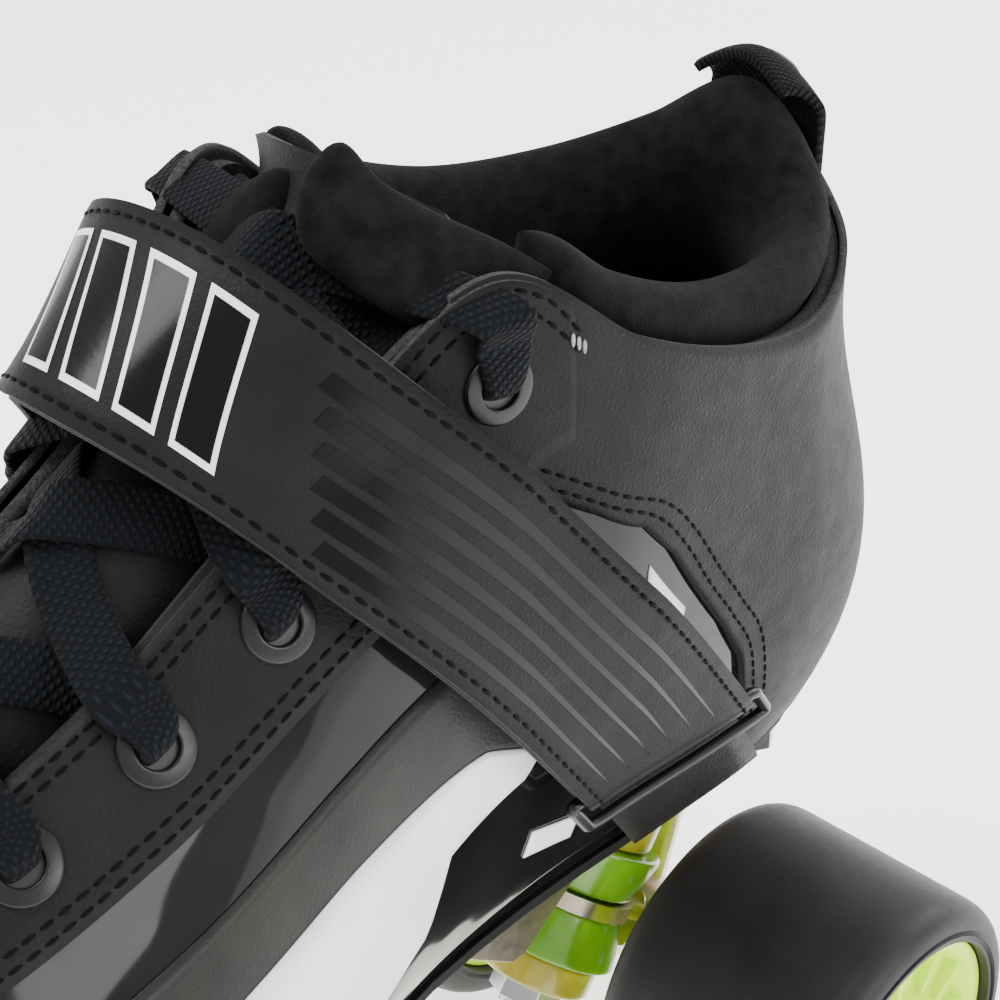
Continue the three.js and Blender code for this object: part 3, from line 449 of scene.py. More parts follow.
def station(i):
    if 0 <= i <= LAST:
        return STATIONS[i]
    mirror = list(STATIONS[-i if i < 0 else 2 * LAST - i])
    mirror[1] *= -1
    mirror[3] *= -1
    return mirror


@functools.lru_cache(maxsize=None)
def wall_row(u):
    s = min(max(u, 0), 1) * LAST
    i = min(int(s), LAST - 1)
    near = [station(i + k) for k in (-1, 0, 1, 2)]
    return [spline(*(n[k] for n in near), s - i) for k in range(9)]


@functools.lru_cache(maxsize=None)
def out_at(u, k):
    if u <= 0:
        return (-1, 0)
    if u >= 1:
        return (1, 0)
    a, b = wall_row(max(u - 1e-3, 0)), wall_row(min(u + 1e-3, 1))
    tx, ty = b[k] - a[k], b[k + 1] - a[k + 1]
    size = math.hypot(tx, ty)
    return (-ty / size, tx / size)


def top_out(u):
    x, y = out_at(u, 2)
    if u >= 1:
        return x, y
    turned = min(max(1 - (THROAT_U - u) * LAST, 0), 1)
    qx, qy = x * (1 - turned), y + (1 - y) * turned
    size = math.hypot(qx, qy)
    return qx / size, qy / size


def wall_point(side, u, v):
    bx, by, tx, ty, tz, bo, bu, to, td = wall_row(u)
    ox, oy = out_at(u, 0)
    qx, qy = top_out(u)
    handles = ((bx, by, UPPER_Z), (bx + ox * bo, by + oy * bo, UPPER_Z + bu),
               (tx + qx * to, ty + qy * to, tz - td), (tx, ty, tz))
    share = ((1 - v) ** 3, 3 * v * (1 - v) ** 2, 3 * v * v * (1 - v), v ** 3)
    x, y, z = (sum(w * h[k] for w, h in zip(share, handles)) for k in range(3))
    return Vector((x, side * y, z))


def wall_out(side, u, v):
    e = 2e-3
    du = wall_point(side, min(u + e, 1), v) - wall_point(side, max(u - e, 0), v)
    dv = wall_point(side, u, min(v + e, 1)) - wall_point(side, u, max(v - e, 0))
    out = (du.cross(dv) * -side).normalized()
    if u <= 0 or u >= 1 or (v >= 1 and u >= THROAT_U):
        out.y = 0
        out.normalize()
    return out


def on_wall(w, v, lift=0.0):
    """w runs over the heel from -1 (toe, inner side) to 1 (toe, outer side)."""
    side = -1 if w < 0 else 1
    u = abs(w)
    point = wall_point(side, u, v) + wall_out(side, u, v) * lift
    if u <= 0 or u >= 1 or (v >= 1 and u >= THROAT_U):
        point.y = 0
    return point


def spaced(start, end, steps):
    return [start + (end - start) * i / steps for i in range(steps + 1)]


def moulded(place, us, vs):
    """A grid whose points are moved to place(u, v); its UV map is in metres along and across."""
    bm = bmesh.new()
    nu, nv = len(us) - 1, len(vs) - 1
    bmesh.ops.create_grid(bm, x_segments=nu, y_segments=nv, size=1)
    rows = {}
    for vert in bm.verts:
        i, j = round((vert.co.x + 1) * nu / 2), round((vert.co.y + 1) * nv / 2)
        rows[vert] = (i, j)
        vert.co = place(us[i], vs[j])
    mid_u, mid_v = us[nu // 2], vs[nv // 2]
    along, across = [0.0], [0.0]
    for i in range(nu):
        along.append(along[-1] + (place(us[i + 1], mid_v) - place(us[i], mid_v)).length * MM)
    for j in range(nv):
        across.append(across[-1] + (place(mid_u, vs[j + 1]) - place(mid_u, vs[j])).length * MM)
    uv = bm.loops.layers.uv.new("cloth")
    for face in bm.faces:
        face.smooth = True
        for loop in face.loops:
            i, j = rows[loop.vert]
            loop[uv].uv = (along[i], across[j])
    return bm


def face_out(bm, middle, towards):
    """Turns all faces of an open sheet so that the one at its middle looks along the given way."""
    bm.normal_update()
    face = min(bm.faces, key=lambda f: (f.calc_center_median() - middle).length)
    if face.normal.dot(towards) < 0:
        bmesh.ops.reverse_faces(bm, faces=bm.faces)


def cut_sheet(name, place, us, vs, out, thick, looks, body="skate_frame", weld=False):
    """A sheet with its real thickness behind its outer face; looks are face, cut edge and back."""
    bm = moulded(place, us, vs)
    if weld:
        bmesh.ops.remove_doubles(bm, verts=bm.verts, dist=0.01)
    face_out(bm, place(us[len(us) // 2], vs[len(vs) // 2]), out)
    move(bm, Matrix.Identity(4))
    made = place_object(name, bm, looks, body)
    if thick < 0.1:
        return made
    wall = made.modifiers.new("thickness", "SOLIDIFY")
    wall.thickness = thick * MM
    wall.offset = -1
    wall.material_offset_rim = min(1, len(looks) - 1)
    wall.material_offset = 2 if len(looks) > 2 else 0
    wall.use_even_offset = False
    return made


def leather_finish(name, dark, light, grain=0.4, rough=(0.45, 0.66)):
    material, tree, shader = new_material(name, light, 0.55)
    place = node(tree, "ShaderNodeTexCoord")
    pores = node(tree, "ShaderNodeTexVoronoi", Scale=1050, feature="DISTANCE_TO_EDGE")
    tree.links.new(place.outputs["Object"], pores.inputs["Vector"])
    vary(tree, shader, noise(tree, 70, 6), dark, light)
    rough_range(tree, shader, noise(tree, 260), *rough)
    bump(tree, shader, (pores.outputs["Distance"], grain, 0.0003),
         (noise(tree, 2600), grain * 0.5, 0.00012), (noise(tree, 110), 0.12, 0.0006))
    shader.inputs["Specular IOR Level"].default_value = 0.12
    return material


leather_look = leather_finish("boot_leather", (0.0062, 0.0058, 0.0052), (0.0115, 0.0107, 0.0096))
leather_dark = leather_finish("dark_leather", (0.007, 0.0068, 0.0064), (0.013, 0.0125, 0.012))
edge_look = finish("cut_edge", (0.06, 0.057, 0.053), 0.95, grain=[(3200, 0.9, 0.0004)],
                   tones=(1800, (0.008, 0.008, 0.0075), (0.05, 0.048, 0.045)))


def suede_finish(name, dark, light, holes):
    material, tree, shader = new_material(name, light, 0.95)
    shader.inputs["Sheen Weight"].default_value = 0.03
    shader.inputs["Sheen Roughness"].default_value = 0.4
    shader.inputs["Specular IOR Level"].default_value = 0.06
    vary(tree, shader, noise(tree, 340, 8), dark, light)
    nap = (noise(tree, 2600, 6), 0.7, 0.0004)
    if holes:
        place = node(tree, "ShaderNodeTexCoord")
        dots = node(tree, "ShaderNodeTexVoronoi", Scale=230, Randomness=0.15)
        tree.links.new(place.outputs["UV"], dots.inputs["Vector"])
        pit = node(tree, "ShaderNodeMapRange")
        pit.inputs["From Min"].default_value = 0.08
        pit.inputs["From Max"].default_value = 0.2
        tree.links.new(dots.outputs["Distance"], pit.inputs["Value"])
        bump(tree, shader, (pit.outputs["Result"], 0.8, 0.0006), nap)
    else:
        bump(tree, shader, nap, (noise(tree, 90), 0.25, 0.0015))
    return material


lining_look = suede_finish("perforated_lining", (0.0035, 0.0035, 0.0033), (0.008, 0.0078, 0.0072), True)
suede_look = suede_finish("collar_suede", (0.0045, 0.0043, 0.004), (0.011, 0.0105, 0.0098), False)


def facing_of(w, v):
    return on_wall(w, v, 1) - on_wall(w, v, 0)


def boot_shell():
    toe = spaced(THROAT_U, 1, 34)[1:]
    ws = [-w for w in reversed(toe)] + spaced(-THROAT_U, THROAT_U, 200) + toe
    looks = [leather_look, edge_look, lining_look]
    made = cut_sheet("boot_leather_shell", on_wall, ws, spaced(0, 1, 28), facing_of(0, 0.5), WALL_T,
                     looks, weld=True)
    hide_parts("boot_upper")


boot_shell()

# ---- Sole and insole ----
# A leather-board sole between the boot and the plate, and a cloth-covered board inside.
# Both keep the solid's outline with rounded arrises.
soften("outsole", "skate_frame", leather_dark, 0.5)
soften("insole", "skate_frame", lining_look, 1.0)

# ---- Overlays ----
# Pieces of leather, glossy patent and white film stitched on the shell. The rear quarter
# goes round the heel and up over the collar; the eyestays carry the eyelets.
QUARTER_LIFT = 1.5
STAY_LIFT = 2.2
QUARTER_EDGE = [(0.0, 0.02), (0.197, 0.02), (0.206, 0.12), (0.228, 0.34), (0.252, 0.46), (0.276, 0.56),
                (0.303, 0.67), (0.328, 0.735), (0.36, 0.755), (0.40, 0.765), (0.43, 0.78)]
COLLAR_RISE = [(0, 0.3), (0.06, 0.5), (0.2, 0.8), (0.28, 2), (0.36, 2.6), (0.43, 2), (0.47, 0.6)]
WHITE_LOW = [(0.372, 0.40), (0.38, 0.365), (0.43, 0.33), (0.437, 0.215), (0.47, 0.16), (0.6, 0.10),
             (0.72, 0.10)]
WHITE_HIGH = [(0.372, 0.405), (0.412, 0.45), (0.492, 0.47), (0.556, 0.47), (0.72, 0.45)]


def between(points, x):
    """The height at x of a line through the points."""
    if x <= points[0][0]:
        return points[0][1]
    for (x0, y0), (x1, y1) in zip(points, points[1:]):
        if x <= x1:
            return y0 + (y1 - y0) * (x - x0) / (x1 - x0)
    return points[-1][1]


def over_top(w, rise, inward):
    """A point above the top line, moved in from it."""
    side = -1 if w < 0 else 1
    ox, oy = out_at(abs(w), 2)
    point = wall_point(side, abs(w), 1)
    return Vector((point.x - ox * inward, point.y - side * oy * inward, point.z + rise))


def on_boot(w, v, lift):
    """On the wall, and past its top line leaning in a little with the collar."""
    if v <= 1:
        return on_wall(w, v, lift)
    rise = (v - 1) * WALL_HEIGHT
    return over_top(w, rise, 0.12 * rise - lift)


def lay(name, w0, w1, low, high, lift, thick, looks, columns=90, rows=14):
    """A patch on the wall between two edges, each given as v at |w|."""
    def place(w, share):
        u = abs(w)
        return on_boot(w, low(u) + (high(u) - low(u)) * share, lift)
    middle = (w0 + w1) / 2
    out = place(middle, 0.5) - on_wall(middle, (low(abs(middle)) + high(abs(middle))) / 2, lift - 1)
    us = spaced(w0, w1, columns)
    return cut_sheet(name, place, us, spaced(0, 1, rows), out, thick, looks)


def patent_finish():
    material, tree, shader = new_material("patent_leather", (0.006, 0.006, 0.007), 0.06)
    vary(tree, shader, noise(tree, 60), (0.005, 0.005, 0.006), (0.010, 0.010, 0.011))
    rough_range(tree, shader, noise(tree, 300), 0.03, 0.10)
    shader.inputs["Specular IOR Level"].default_value = 0.22
    bump(tree, shader, (noise(tree, 48, 1), 0.35, 0.0022))
    return material


patent_look = patent_finish()
film_look = finish("white_film", (0.84, 0.85, 0.87), 0.35, grain=[(1500, 0.12, 0.00015)],
                   tones=(100, (0.80, 0.81, 0.83), (0.88, 0.89, 0.90)))
satin_look = leather_finish("satin_leather", (0.018, 0.017, 0.0155), (0.030, 0.028, 0.0255), 0.2,
                            (0.28, 0.42))
SIDES = (("outer", 1), ("inner", -1))


def span(side, u0, u1):
    return (u0, u1) if side > 0 else (-u1, -u0)


def stay_edge(u):
    return 0.735 - 0.6 * (u - 0.55) ** 2


def side_pieces(side, label):
    made = lay(f"{label}_patent_panel", *span(side, 0.2, 0.745), lambda u: 0.02,
               lambda u: 0.80, 0.45, 0.4, [patent_look, edge_look], 120, 20)
    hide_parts(f"{label}_side_panel")
    lay(f"{label}_satin_band", *span(side, 0.35, 0.745), lambda u: between(WHITE_HIGH, u) - 0.02,
        lambda u: 0.60 - 1.2 * max(u - 0.62, 0), 0.75, 0.3, [satin_look, edge_look], 60, 6)
    lay(f"{label}_white_stripe", *span(side, 0.372, 0.72), lambda u: between(WHITE_LOW, u),
        lambda u: between(WHITE_HIGH, u), 0.95, 0.3, [film_look], 120, 8)
    lay(f"{label}_white_patch", *span(side, 0.322, 0.36), lambda u: 0.13 + 1.2 * (u - 0.322),
        lambda u: 0.18 + 1.3 * (u - 0.322), 0.75, 0.3, [film_look], 12, 4)
    lay(f"{label}_window_film", *span(side, 0.284, 0.318), lambda u: 0.48 + 3.2 * (u - 0.284),
        lambda u: 0.545 + 3.4 * (u - 0.284), 0.6, 0.15, [film_look], 12, 4)
    stay = lay(f"{label}_eyestay_leather", *span(side, 0.375, 0.752),
               lambda u: stay_edge(u) + 2.4 * max(0.43 - u, 0),
               lambda u: 0.99 if u > 0.47 else 1 + between(COLLAR_RISE, u) / 130,
               STAY_LIFT, 1.3, [leather_look, edge_look], 110, 10)
    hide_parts(f"{label}_eyestay")


for label, side in SIDES:
    side_pieces(side, label)
quarter = lay("rear_quarter_leather", -0.43, 0.43, lambda u: between(QUARTER_EDGE, u),
              lambda u: 1 + between(COLLAR_RISE, u) / WALL_HEIGHT, QUARTER_LIFT, 1.2,
              [leather_look, edge_look], 300, 22)
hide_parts("heel_counter")

# ---- Stitching ----
# Twin rows of black thread along the rear quarter and the eyestays, each stitch a short
# rounded stroke, and a small bar-tack in lighter thread where each eyestay ends.


def thread_finish(name, dark, light):
    return finish(name, light, 0.6, specular=0.05, tones=(900, dark, light),
                  grain=[(3500, 0.6, 0.0002)])


thread_look = thread_finish("black_thread", (0.0015, 0.0015, 0.0015), (0.0045, 0.0045, 0.0045))
light_thread = thread_finish("grey_thread", (0.25, 0.25, 0.24), (0.42, 0.41, 0.40))


def sew(bm, place, up, pitch=2.6, long=2.15, thick=0.62):
    """Stitches at an even pitch along place(k), k from 0 to 1, lying on the face that looks up(k)."""
    steps = 160
    samples = [place(k) for k in spaced(0, 1, steps)]
    run = [0.0]
    for a, b in zip(samples, samples[1:]):
        run.append(run[-1] + (b - a).length)
    count = int(run[-1] / pitch)
    j = 0
    for i in range(count):
        want = (i + 0.5) * run[-1] / count
        while run[j + 1] < want:
            j += 1
        share = (want - run[j]) / (run[j + 1] - run[j])
        at = samples[j].lerp(samples[j + 1], share)
        along = (samples[j + 1] - samples[j]).normalized()
        out = up((j + share) / steps).normalized()
        across = out.cross(along).normalized()
        sizes = (along * long / 2, across * thick / 2, out * thick * 0.38)
        turned = Matrix(sizes).transposed().to_4x4()
        bmesh.ops.create_uvsphere(bm, u_segments=8, v_segments=5, radius=1,
                                  matrix=Matrix.Translation(at) @ turned)


def smooth_path(points):
    """A function of k from 0 to 1 that runs through the points."""
    last = len(points) - 1

    def at(k):
        s = k * last
        i = min(int(s), last - 1)
        near = [points[min(max(i + d, 0), last)] for d in (-1, 0, 1, 2)]
        return tuple(spline(*(n[c] for n in near), s - i) for c in range(2))
    return at


def wall_stitches(bm, side, points, lift):
    path = smooth_path(points)

    def place(k, extra=0.0):
        u, v = path(k)
        return on_boot(side * max(u, 1e-4), v, lift + extra)
    sew(bm, place, lambda k: place(k, 1) - place(k))


def thread_object(name, bm, look, body="skate_frame"):
    for face in bm.faces:
        face.smooth = True
    move(bm, Matrix.Identity(4))
    made = place_object(name, bm, [look], body)


seams = bmesh.new()
tacks = bmesh.new()
for label, side in SIDES:
    for back, up in ((0.006, 0.016), (0.013, 0.034)):
        edge = [(u - back, v + up) for u, v in QUARTER_EDGE[2:]]
        wall_stitches(seams, side, edge, QUARTER_LIFT)
    for inset in (0.018, 0.042):
        lower = [(u, stay_edge(u) + inset) for u in spaced(0.43, 0.745, 10)]
        wall_stitches(seams, side, lower, STAY_LIFT)
        upper = [(u, 0.985 - inset) for u in spaced(0.475, 0.745, 8)]
        wall_stitches(seams, side, upper, STAY_LIFT)
        end = [(0.475 - 0.2 * inset, 0.985 - inset), (0.45, 1.0 - inset), (0.42, 1.02 - inset),
               (0.39 + 0.1 * inset, 1.02 - inset), (0.372, 1.0 - inset)]
        wall_stitches(seams, side, end, STAY_LIFT)
    for k in range(3):
        bar = [(0.371 + 0.003 * k, 0.95), (0.371 + 0.003 * k, 0.985)]
        wall_stitches(tacks, side, bar, STAY_LIFT + 0.15)
thread_object("overlay_stitching", seams, thread_look)
thread_object("bar_tacks", tacks, light_thread)

# ---- Collar ----
# A foam roll covered in black suede-like microfibre, turned over the top line and sewn
# inside, with a soft ear at each front end. The perforated lining carries on below it.
COLLAR_END = 0.385
COLLAR_IN = 2.4
ROLL_END = 0.03
ROLL_MIDDLE = 7.5
COLLAR_ROLL = [
    # inwards, up from the top line
    (1.5, -30), (4, -30), (8, -18), (10, -6), (9.6, 2), (7, 7.5), (3.4, 9.2), (0.2, 7.6), (-1.0, 3),
    (0.9, -2), (1.2, -14),
]


def roll_point(w, k):
    n = len(COLLAR_ROLL)
    s = (k % 1) * n
    i = int(s)
    near = [COLLAR_ROLL[(i + d) % n] for d in (-1, 0, 1, 2)]
    inward, rise = (spline(*(p[c] for p in near), s - i) for c in range(2))
    inward += COLLAR_IN
    end = min(max((abs(w) - COLLAR_END + ROLL_END) / ROLL_END, 0), 1)
    rise -= 3.0 * end * end
    inward = ROLL_MIDDLE + (inward - ROLL_MIDDLE) * (1 - 0.55 * end ** 3)
    if rise < 0:
        return on_wall(w, 1 + rise / WALL_HEIGHT, -inward)
    return over_top(w, rise, inward)


def close_ends(bm):
    rims = [edge for edge in bm.edges if len(edge.link_faces) == 1]
    bmesh.ops.holes_fill(bm, edges=rims, sides=0)
    bmesh.ops.recalc_face_normals(bm, faces=bm.faces)
    for face in bm.faces:
        face.smooth = True


def closed_piece(name, place, us, vs, look):
    """A skin closed round itself; open ends are filled."""
    bm = moulded(place, us, vs)
    bmesh.ops.remove_doubles(bm, verts=bm.verts, dist=0.01)
    close_ends(bm)
    move(bm, Matrix.Identity(4))
    made = place_object(name, bm, [look], "skate_frame")
    return made


collar_roll = closed_piece("collar_suede_roll", roll_point, spaced(-COLLAR_END, COLLAR_END, 150),
                           spaced(0, 1, 44), suede_look)
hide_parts("collar_padding")

EAR_TOP = [(-50, 27, 187), (-45, 22.5, 191.5), (-39.5, 17, 195.5), (-35.5, 11, 199.5),
           (-34.8, 5.5, 203), (-33, 2, 200.5)]
EAR_FOOT = [(-38, 26, 181), (-32, 23.5, 183.5), (-28, 19, 187), (-26, 13, 190), (-26, 7, 192),
            (-28, 2.5, 195)]
INNER_EAR_DROP = 7


def ear_point(side, k, turn_by):
    last = len(EAR_TOP) - 1
    s = k * last
    i = min(int(s), last - 1)
    top, foot = (spline(*(Vector(line[min(max(i + d, 0), last)]) for d in (-1, 0, 1, 2)), s - i)
                 for line in (EAR_TOP, EAR_FOOT))
    reach = (top - foot) / 2
    out = Vector((0.62, 0.25, 0.74)).normalized()
    full = 1 - 0.6 * max((k - 0.85) / 0.15, 0) ** 2
    angle = 2 * math.pi * turn_by
    x = math.copysign(abs(math.cos(angle)) ** 0.7, math.cos(angle)) * full
    point = (top + foot) / 2 + reach * x + out * 2.8 * full * math.sin(angle)
    drop = 0 if side > 0 else INNER_EAR_DROP
    return Vector((point.x, side * point.y, point.z - drop))


for label, side in SIDES:
    ear = closed_piece(f"{label}_collar_ear", lambda k, a: ear_point(side, k, a), spaced(0, 1, 40),
                       spaced(0, 1, 32), suede_look)

# ---- Tongue ----
# A padded tongue: a leather face with a raw, slightly fuzzy edge over a foam pad covered
# in lining cloth. It is sewn in at the toe end and held by the lace.
TONGUE = [
    # x, z, half width, side droop
    (72, 124, 14, 10), (52, 137.6, 17, 15), (26, 156, 18.5, 20), (-4, 173, 18, 21), (-20, 184, 20.5, 20),
    (-30, 191.5, 21.5, 17), (-36, 199, 21, 9),
]
TONGUE_LAST = len(TONGUE) - 1


def tongue_row(s):
    i = min(int(s), TONGUE_LAST - 1)
    near = [TONGUE[min(max(i + d, 0), TONGUE_LAST)] for d in (-1, 0, 1, 2)]
    return [spline(*(n[k] for n in near), s - i) for k in range(4)]


def tongue_point(s, t, lift):
    x, z, half, droop = tongue_row(s)
    x0, z0 = tongue_row(max(s - 0.05, 0))[:2]
    x1, z1 = tongue_row(min(s + 0.05, TONGUE_LAST))[:2]
    out = Vector((z1 - z0, 0, x0 - x1)).normalized()
    narrow = 1 - 0.3 * max(s - 4, 0) / 2 if t > 0 else 1
    return Vector((x, half * t * narrow, z)) + out * (lift - droop * t * t)


def face_point(s, t):
    uneven = 1 + 0.012 * math.sin(23 * s)
    return tongue_point(s, t * uneven, 0.2)


tongue_face = cut_sheet("tongue_leather", face_point, spaced(0, TONGUE_LAST, 120), spaced(-1, 1, 28),
                        tongue_point(3, 0, 1) - tongue_point(3, 0, 0), 1.3,
                        [leather_dark, edge_look])


def pad_point(s, k):
    t = math.cos(2 * math.pi * k) * 0.95
    deep = 1.5 + 2.6 * (1 - math.sin(2 * math.pi * k)) * (1 - 0.45 * t * t)
    return tongue_point(s, t, -deep)


tongue_pad = closed_piece("tongue_foam_pad", pad_point, spaced(0.1, TONGUE_LAST - 0.05, 70),
                          spaced(0, 1, 40), lining_look)
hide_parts("tongue")

# ---- Eyelets and lace ----
# Twelve rolled gunmetal eyelets and one flat, tubular-woven lace. It comes up out of each
# eyelet, crosses the tongue, and passes under the other side's edge to the next one.
EYELETS = [(0.672, 0.86), (0.62, 0.87), (0.567, 0.87), (0.51, 0.86), (0.458, 0.87), (0.414, 0.9)]
gunmetal_look = finish("gunmetal", (0.007, 0.0073, 0.0078), 0.3, 0.35, rough=(900, 0.22, 0.42),
                       grain=[(2500, 0.15, 0.0001)])
FLANGE = round_corners([(2.7, -1.4), (3.0, -1.4), (3.2, 0), (5, 0), (5, 0.55), (2.7, 0.95)],
                       [0.1, 0.1, 0.1, 0.2, 0.4, 0.5], 4)


def eyelet_ring(w, v):
    out = facing_of(w, v).normalized()
    turned = Vector((0, 1, 0)).rotation_difference(out).to_matrix().to_4x4()
    ring = turn(FLANGE, 40)
    floor_at = Matrix.Translation((0, 0.06, 0)) @ Matrix.Rotation(-math.pi / 2, 4, "X")
    bmesh.ops.create_circle(ring, cap_ends=True, segments=40, radius=2.75, matrix=floor_at)
    for face in ring.faces:
        face.material_index = 1 if len(face.verts) > 20 else 0
    seat = Matrix.Translation(on_wall(w, v, STAY_LIFT)) @ turned
    bmesh.ops.transform(ring, matrix=seat, verts=ring.verts)
    return ring


rings = bmesh.new()
for label, side in SIDES:
    for u, v in EYELETS:
        add_mesh(rings, eyelet_ring(side * u, v))
move(rings, Matrix.Identity(4))
made = place_object("eyelets", rings, [gunmetal_look, seal_look], "skate_frame")

LACE_OPEN = (8.2, 1.3)
LACE_BUNCHED = (5.0, 2.4)
LACE_LIFT = 1.7


def lace_at_wall(side, u, v, lift, bunched):
    wide = wall_point(side, u + 0.01, v) - wall_point(side, u - 0.01, v)
    return on_wall(side * u, v, lift), wide.normalized(), bunched


def lace_at_tongue(s, t, lift):
    wide = tongue_point(max(s - 0.1, 0), t, 0) - tongue_point(s + 0.1, t, 0)
    half, droop = tongue_row(s)[2:]
    steep = math.hypot(1, 2 * droop * t / half)
    return tongue_point(s, t, lift * steep), wide.normalized(), 0


def tongue_beside(u):
    rim = wall_point(1, u, 0.96)
    return min(spaced(0, TONGUE_LAST - 0.2, 120),
               key=lambda s: math.hypot(tongue_row(s)[0] - rim.x, tongue_row(s)[1] - rim.z))


def over_tongue(side, ts, start, end, lift):
    a, b = tongue_beside(start[0]), tongue_beside(end[0])
    return [lace_at_tongue(a + (b - a) * (0.8 - t) / 1.6, side * t, LACE_LIFT if t else lift)
            for t in ts]


def out_of_eyelet(side, u, v):
    return [lace_at_wall(side, u, v, -0.4, 1), lace_at_wall(side, u, v + 0.004, 3.4, 1),
            lace_at_wall(side, u, v + 0.05, 4.3, 0.1), lace_at_wall(side, u + 0.004, 0.99, 4.3, 0)]


def under_eyelet(side, u, v):
    return [lace_at_wall(side, u + 0.004, 0.98, -4.2, 0), lace_at_wall(side, u, v + 0.05, -3.8, 0.2),
            lace_at_wall(side, u, v + 0.005, -3.6, 1)]


def lace_half(first):
    points = []
    for i, eyelet in enumerate(EYELETS):
        side = -first if i % 2 else first
        after = EYELETS[i + 1] if i + 1 < len(EYELETS) else (eyelet[0] + 0.03, 0.9)
        lift = LACE_LIFT if first > 0 else LACE_LIFT + 1.9
        points += out_of_eyelet(side, *eyelet)
        points += over_tongue(side, [0.4, 0, -0.4, -0.72], eyelet, after, lift)
        points += under_eyelet(-side, *after)
    return points


def lace_route():
    first = EYELETS[0]
    bar = over_tongue(1, [0.72, 0.4, 0, -0.4, -0.72], first, first, LACE_LIFT)
    return (lace_half(1)[::-1] + under_eyelet(1, *first)[::-1] + bar
            + under_eyelet(-1, *first) + lace_half(-1))


route = lace_route()
LACE_LAST = len(route) - 1


def lace_centre(s):
    i = min(int(s), LACE_LAST - 1)
    near = [route[min(max(i + d, 0), LACE_LAST)][0] for d in (-1, 0, 1, 2)]
    return spline(*near, s - i)


def lace_point(s, k):
    i = min(int(s), LACE_LAST - 1)
    share = s - i
    along = (lace_centre(min(s + 0.1, LACE_LAST)) - lace_centre(max(s - 0.1, 0))).normalized()
    wide = route[i][1].lerp(route[i + 1][1], share)
    wide = (wide - along * wide.dot(along)).normalized()
    high = wide.cross(along)
    bunched = route[i][2] * (1 - share) + route[i + 1][2] * share
    width, thick = (a + (b - a) * bunched for a, b in zip(LACE_OPEN, LACE_BUNCHED))
    angle = 2 * math.pi * k
    x = math.copysign(abs(math.cos(angle)) ** 0.6, math.cos(angle)) * width / 2
    y = math.copysign(abs(math.sin(angle)) ** 0.6, math.sin(angle)) * thick / 2
    return lace_centre(s) + wide * x + high * y


def woven_finish(name, dark, light, pitch):
    """Flat weave: two sets of diagonal yarns on the UV map, which is in metres."""
    material, tree, shader = new_material(name, light, 0.8)
    shader.inputs["Sheen Weight"].default_value = 0.02
    shader.inputs["Specular IOR Level"].default_value = 0.12
    place = node(tree, "ShaderNodeTexCoord")
    heights = []
    for turn_by in (0.62, -0.62):
        spun = node(tree, "ShaderNodeMapping")
        spun.inputs["Rotation"].default_value = (0, 0, turn_by)
        yarn = node(tree, "ShaderNodeTexWave", Scale=0.314 / pitch, Distortion=0.6)
        tree.links.new(place.outputs["UV"], spun.inputs["Vector"])
        tree.links.new(spun.outputs["Vector"], yarn.inputs["Vector"])
        heights.append(yarn.outputs["Fac"])
    crossed = node(tree, "ShaderNodeMath", operation="MULTIPLY")
    tree.links.new(heights[0], crossed.inputs[0])
    tree.links.new(heights[1], crossed.inputs[1])
    vary(tree, shader, crossed.outputs["Value"], dark, light)
    bump(tree, shader, (crossed.outputs["Value"], 0.9, 0.0005), (noise(tree, 3000), 0.4, 0.0002))
    return material


lace_look = woven_finish("woven_lace", (0.0015, 0.0022, 0.0033), (0.006, 0.0085, 0.012), 0.0011)
made = closed_piece("flat_lace", lace_point, spaced(0, LACE_LAST, 6 * LACE_LAST), spaced(0, 1, 20),
                    lace_look)
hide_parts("lace")

# ---- Instep strap and ring ----
# A cut leather strap goes over the instep, down through a flattened wire ring held by a
# short tab, folds back on itself and closes on top; the closing part lifts from the fold.
BAND_CENTRE = Vector((-65, 0, 108))
BAND_ACROSS = Vector((-0.79, 0, 0.61)).normalized()
BAND_RIDGE = Vector((-3, 0, 187))
OVER_RIDGE = 0.34
STRAP_HALF = 14
STRAP_T = 1.6
STRAP_LIFT = 4.4
FLAP_LIFT = 6.5
FLAP_TOP = FLAP_LIFT + STRAP_T
FOLD_T = 0.77
FLAP_START = -0.19
FLAP_END = 0.765


@functools.lru_cache(maxsize=None)
def band_u(v, across):
    """Where the band's plane, moved across it, meets the wall at height v."""
    low, high = 0.1, 0.72
    for _ in range(22):
        middle = (low + high) / 2
        if (wall_point(1, middle, v) - BAND_CENTRE).dot(BAND_ACROSS) > across:
            low = middle
        else:
            high = middle
    return (low + high) / 2


def band_line(t, across, lift):
    """Over the foot from the inner sole (-1) by the ridge (0) to the outer sole (1)."""
    side = -1 if t < 0 else 1
    a = abs(t)
    edge = 0.93
    if a > OVER_RIDGE:
        v = max(edge * (1 - (a - OVER_RIDGE) / (1 - OVER_RIDGE)), 0.01)
        return on_wall(side * band_u(v, across), v, lift)
    foot = on_wall(side * band_u(edge, across), edge, lift)
    before = on_wall(side * band_u(edge - 0.04, across), edge - 0.04, lift)
    top = BAND_RIDGE + BAND_ACROSS * across + Vector((0.61, 0, 0.79)) * (lift - 3)
    pull = (foot - before).normalized() * (foot - top).length * 0.45
    k = a / OVER_RIDGE
    handles = (top, top + Vector((0, foot.y / 2, 0)), foot + pull, foot)
    share = ((1 - k) ** 3, 3 * k * (1 - k) ** 2, 3 * k * k * (1 - k), k ** 3)
    point = sum((h * w for h, w in zip(handles, share)), Vector())
    if a == 0:
        point.y = 0
    return point


def band_out(t, across, lift):
    return (band_line(t, across, lift + 1) - band_line(t, across, lift)).normalized()


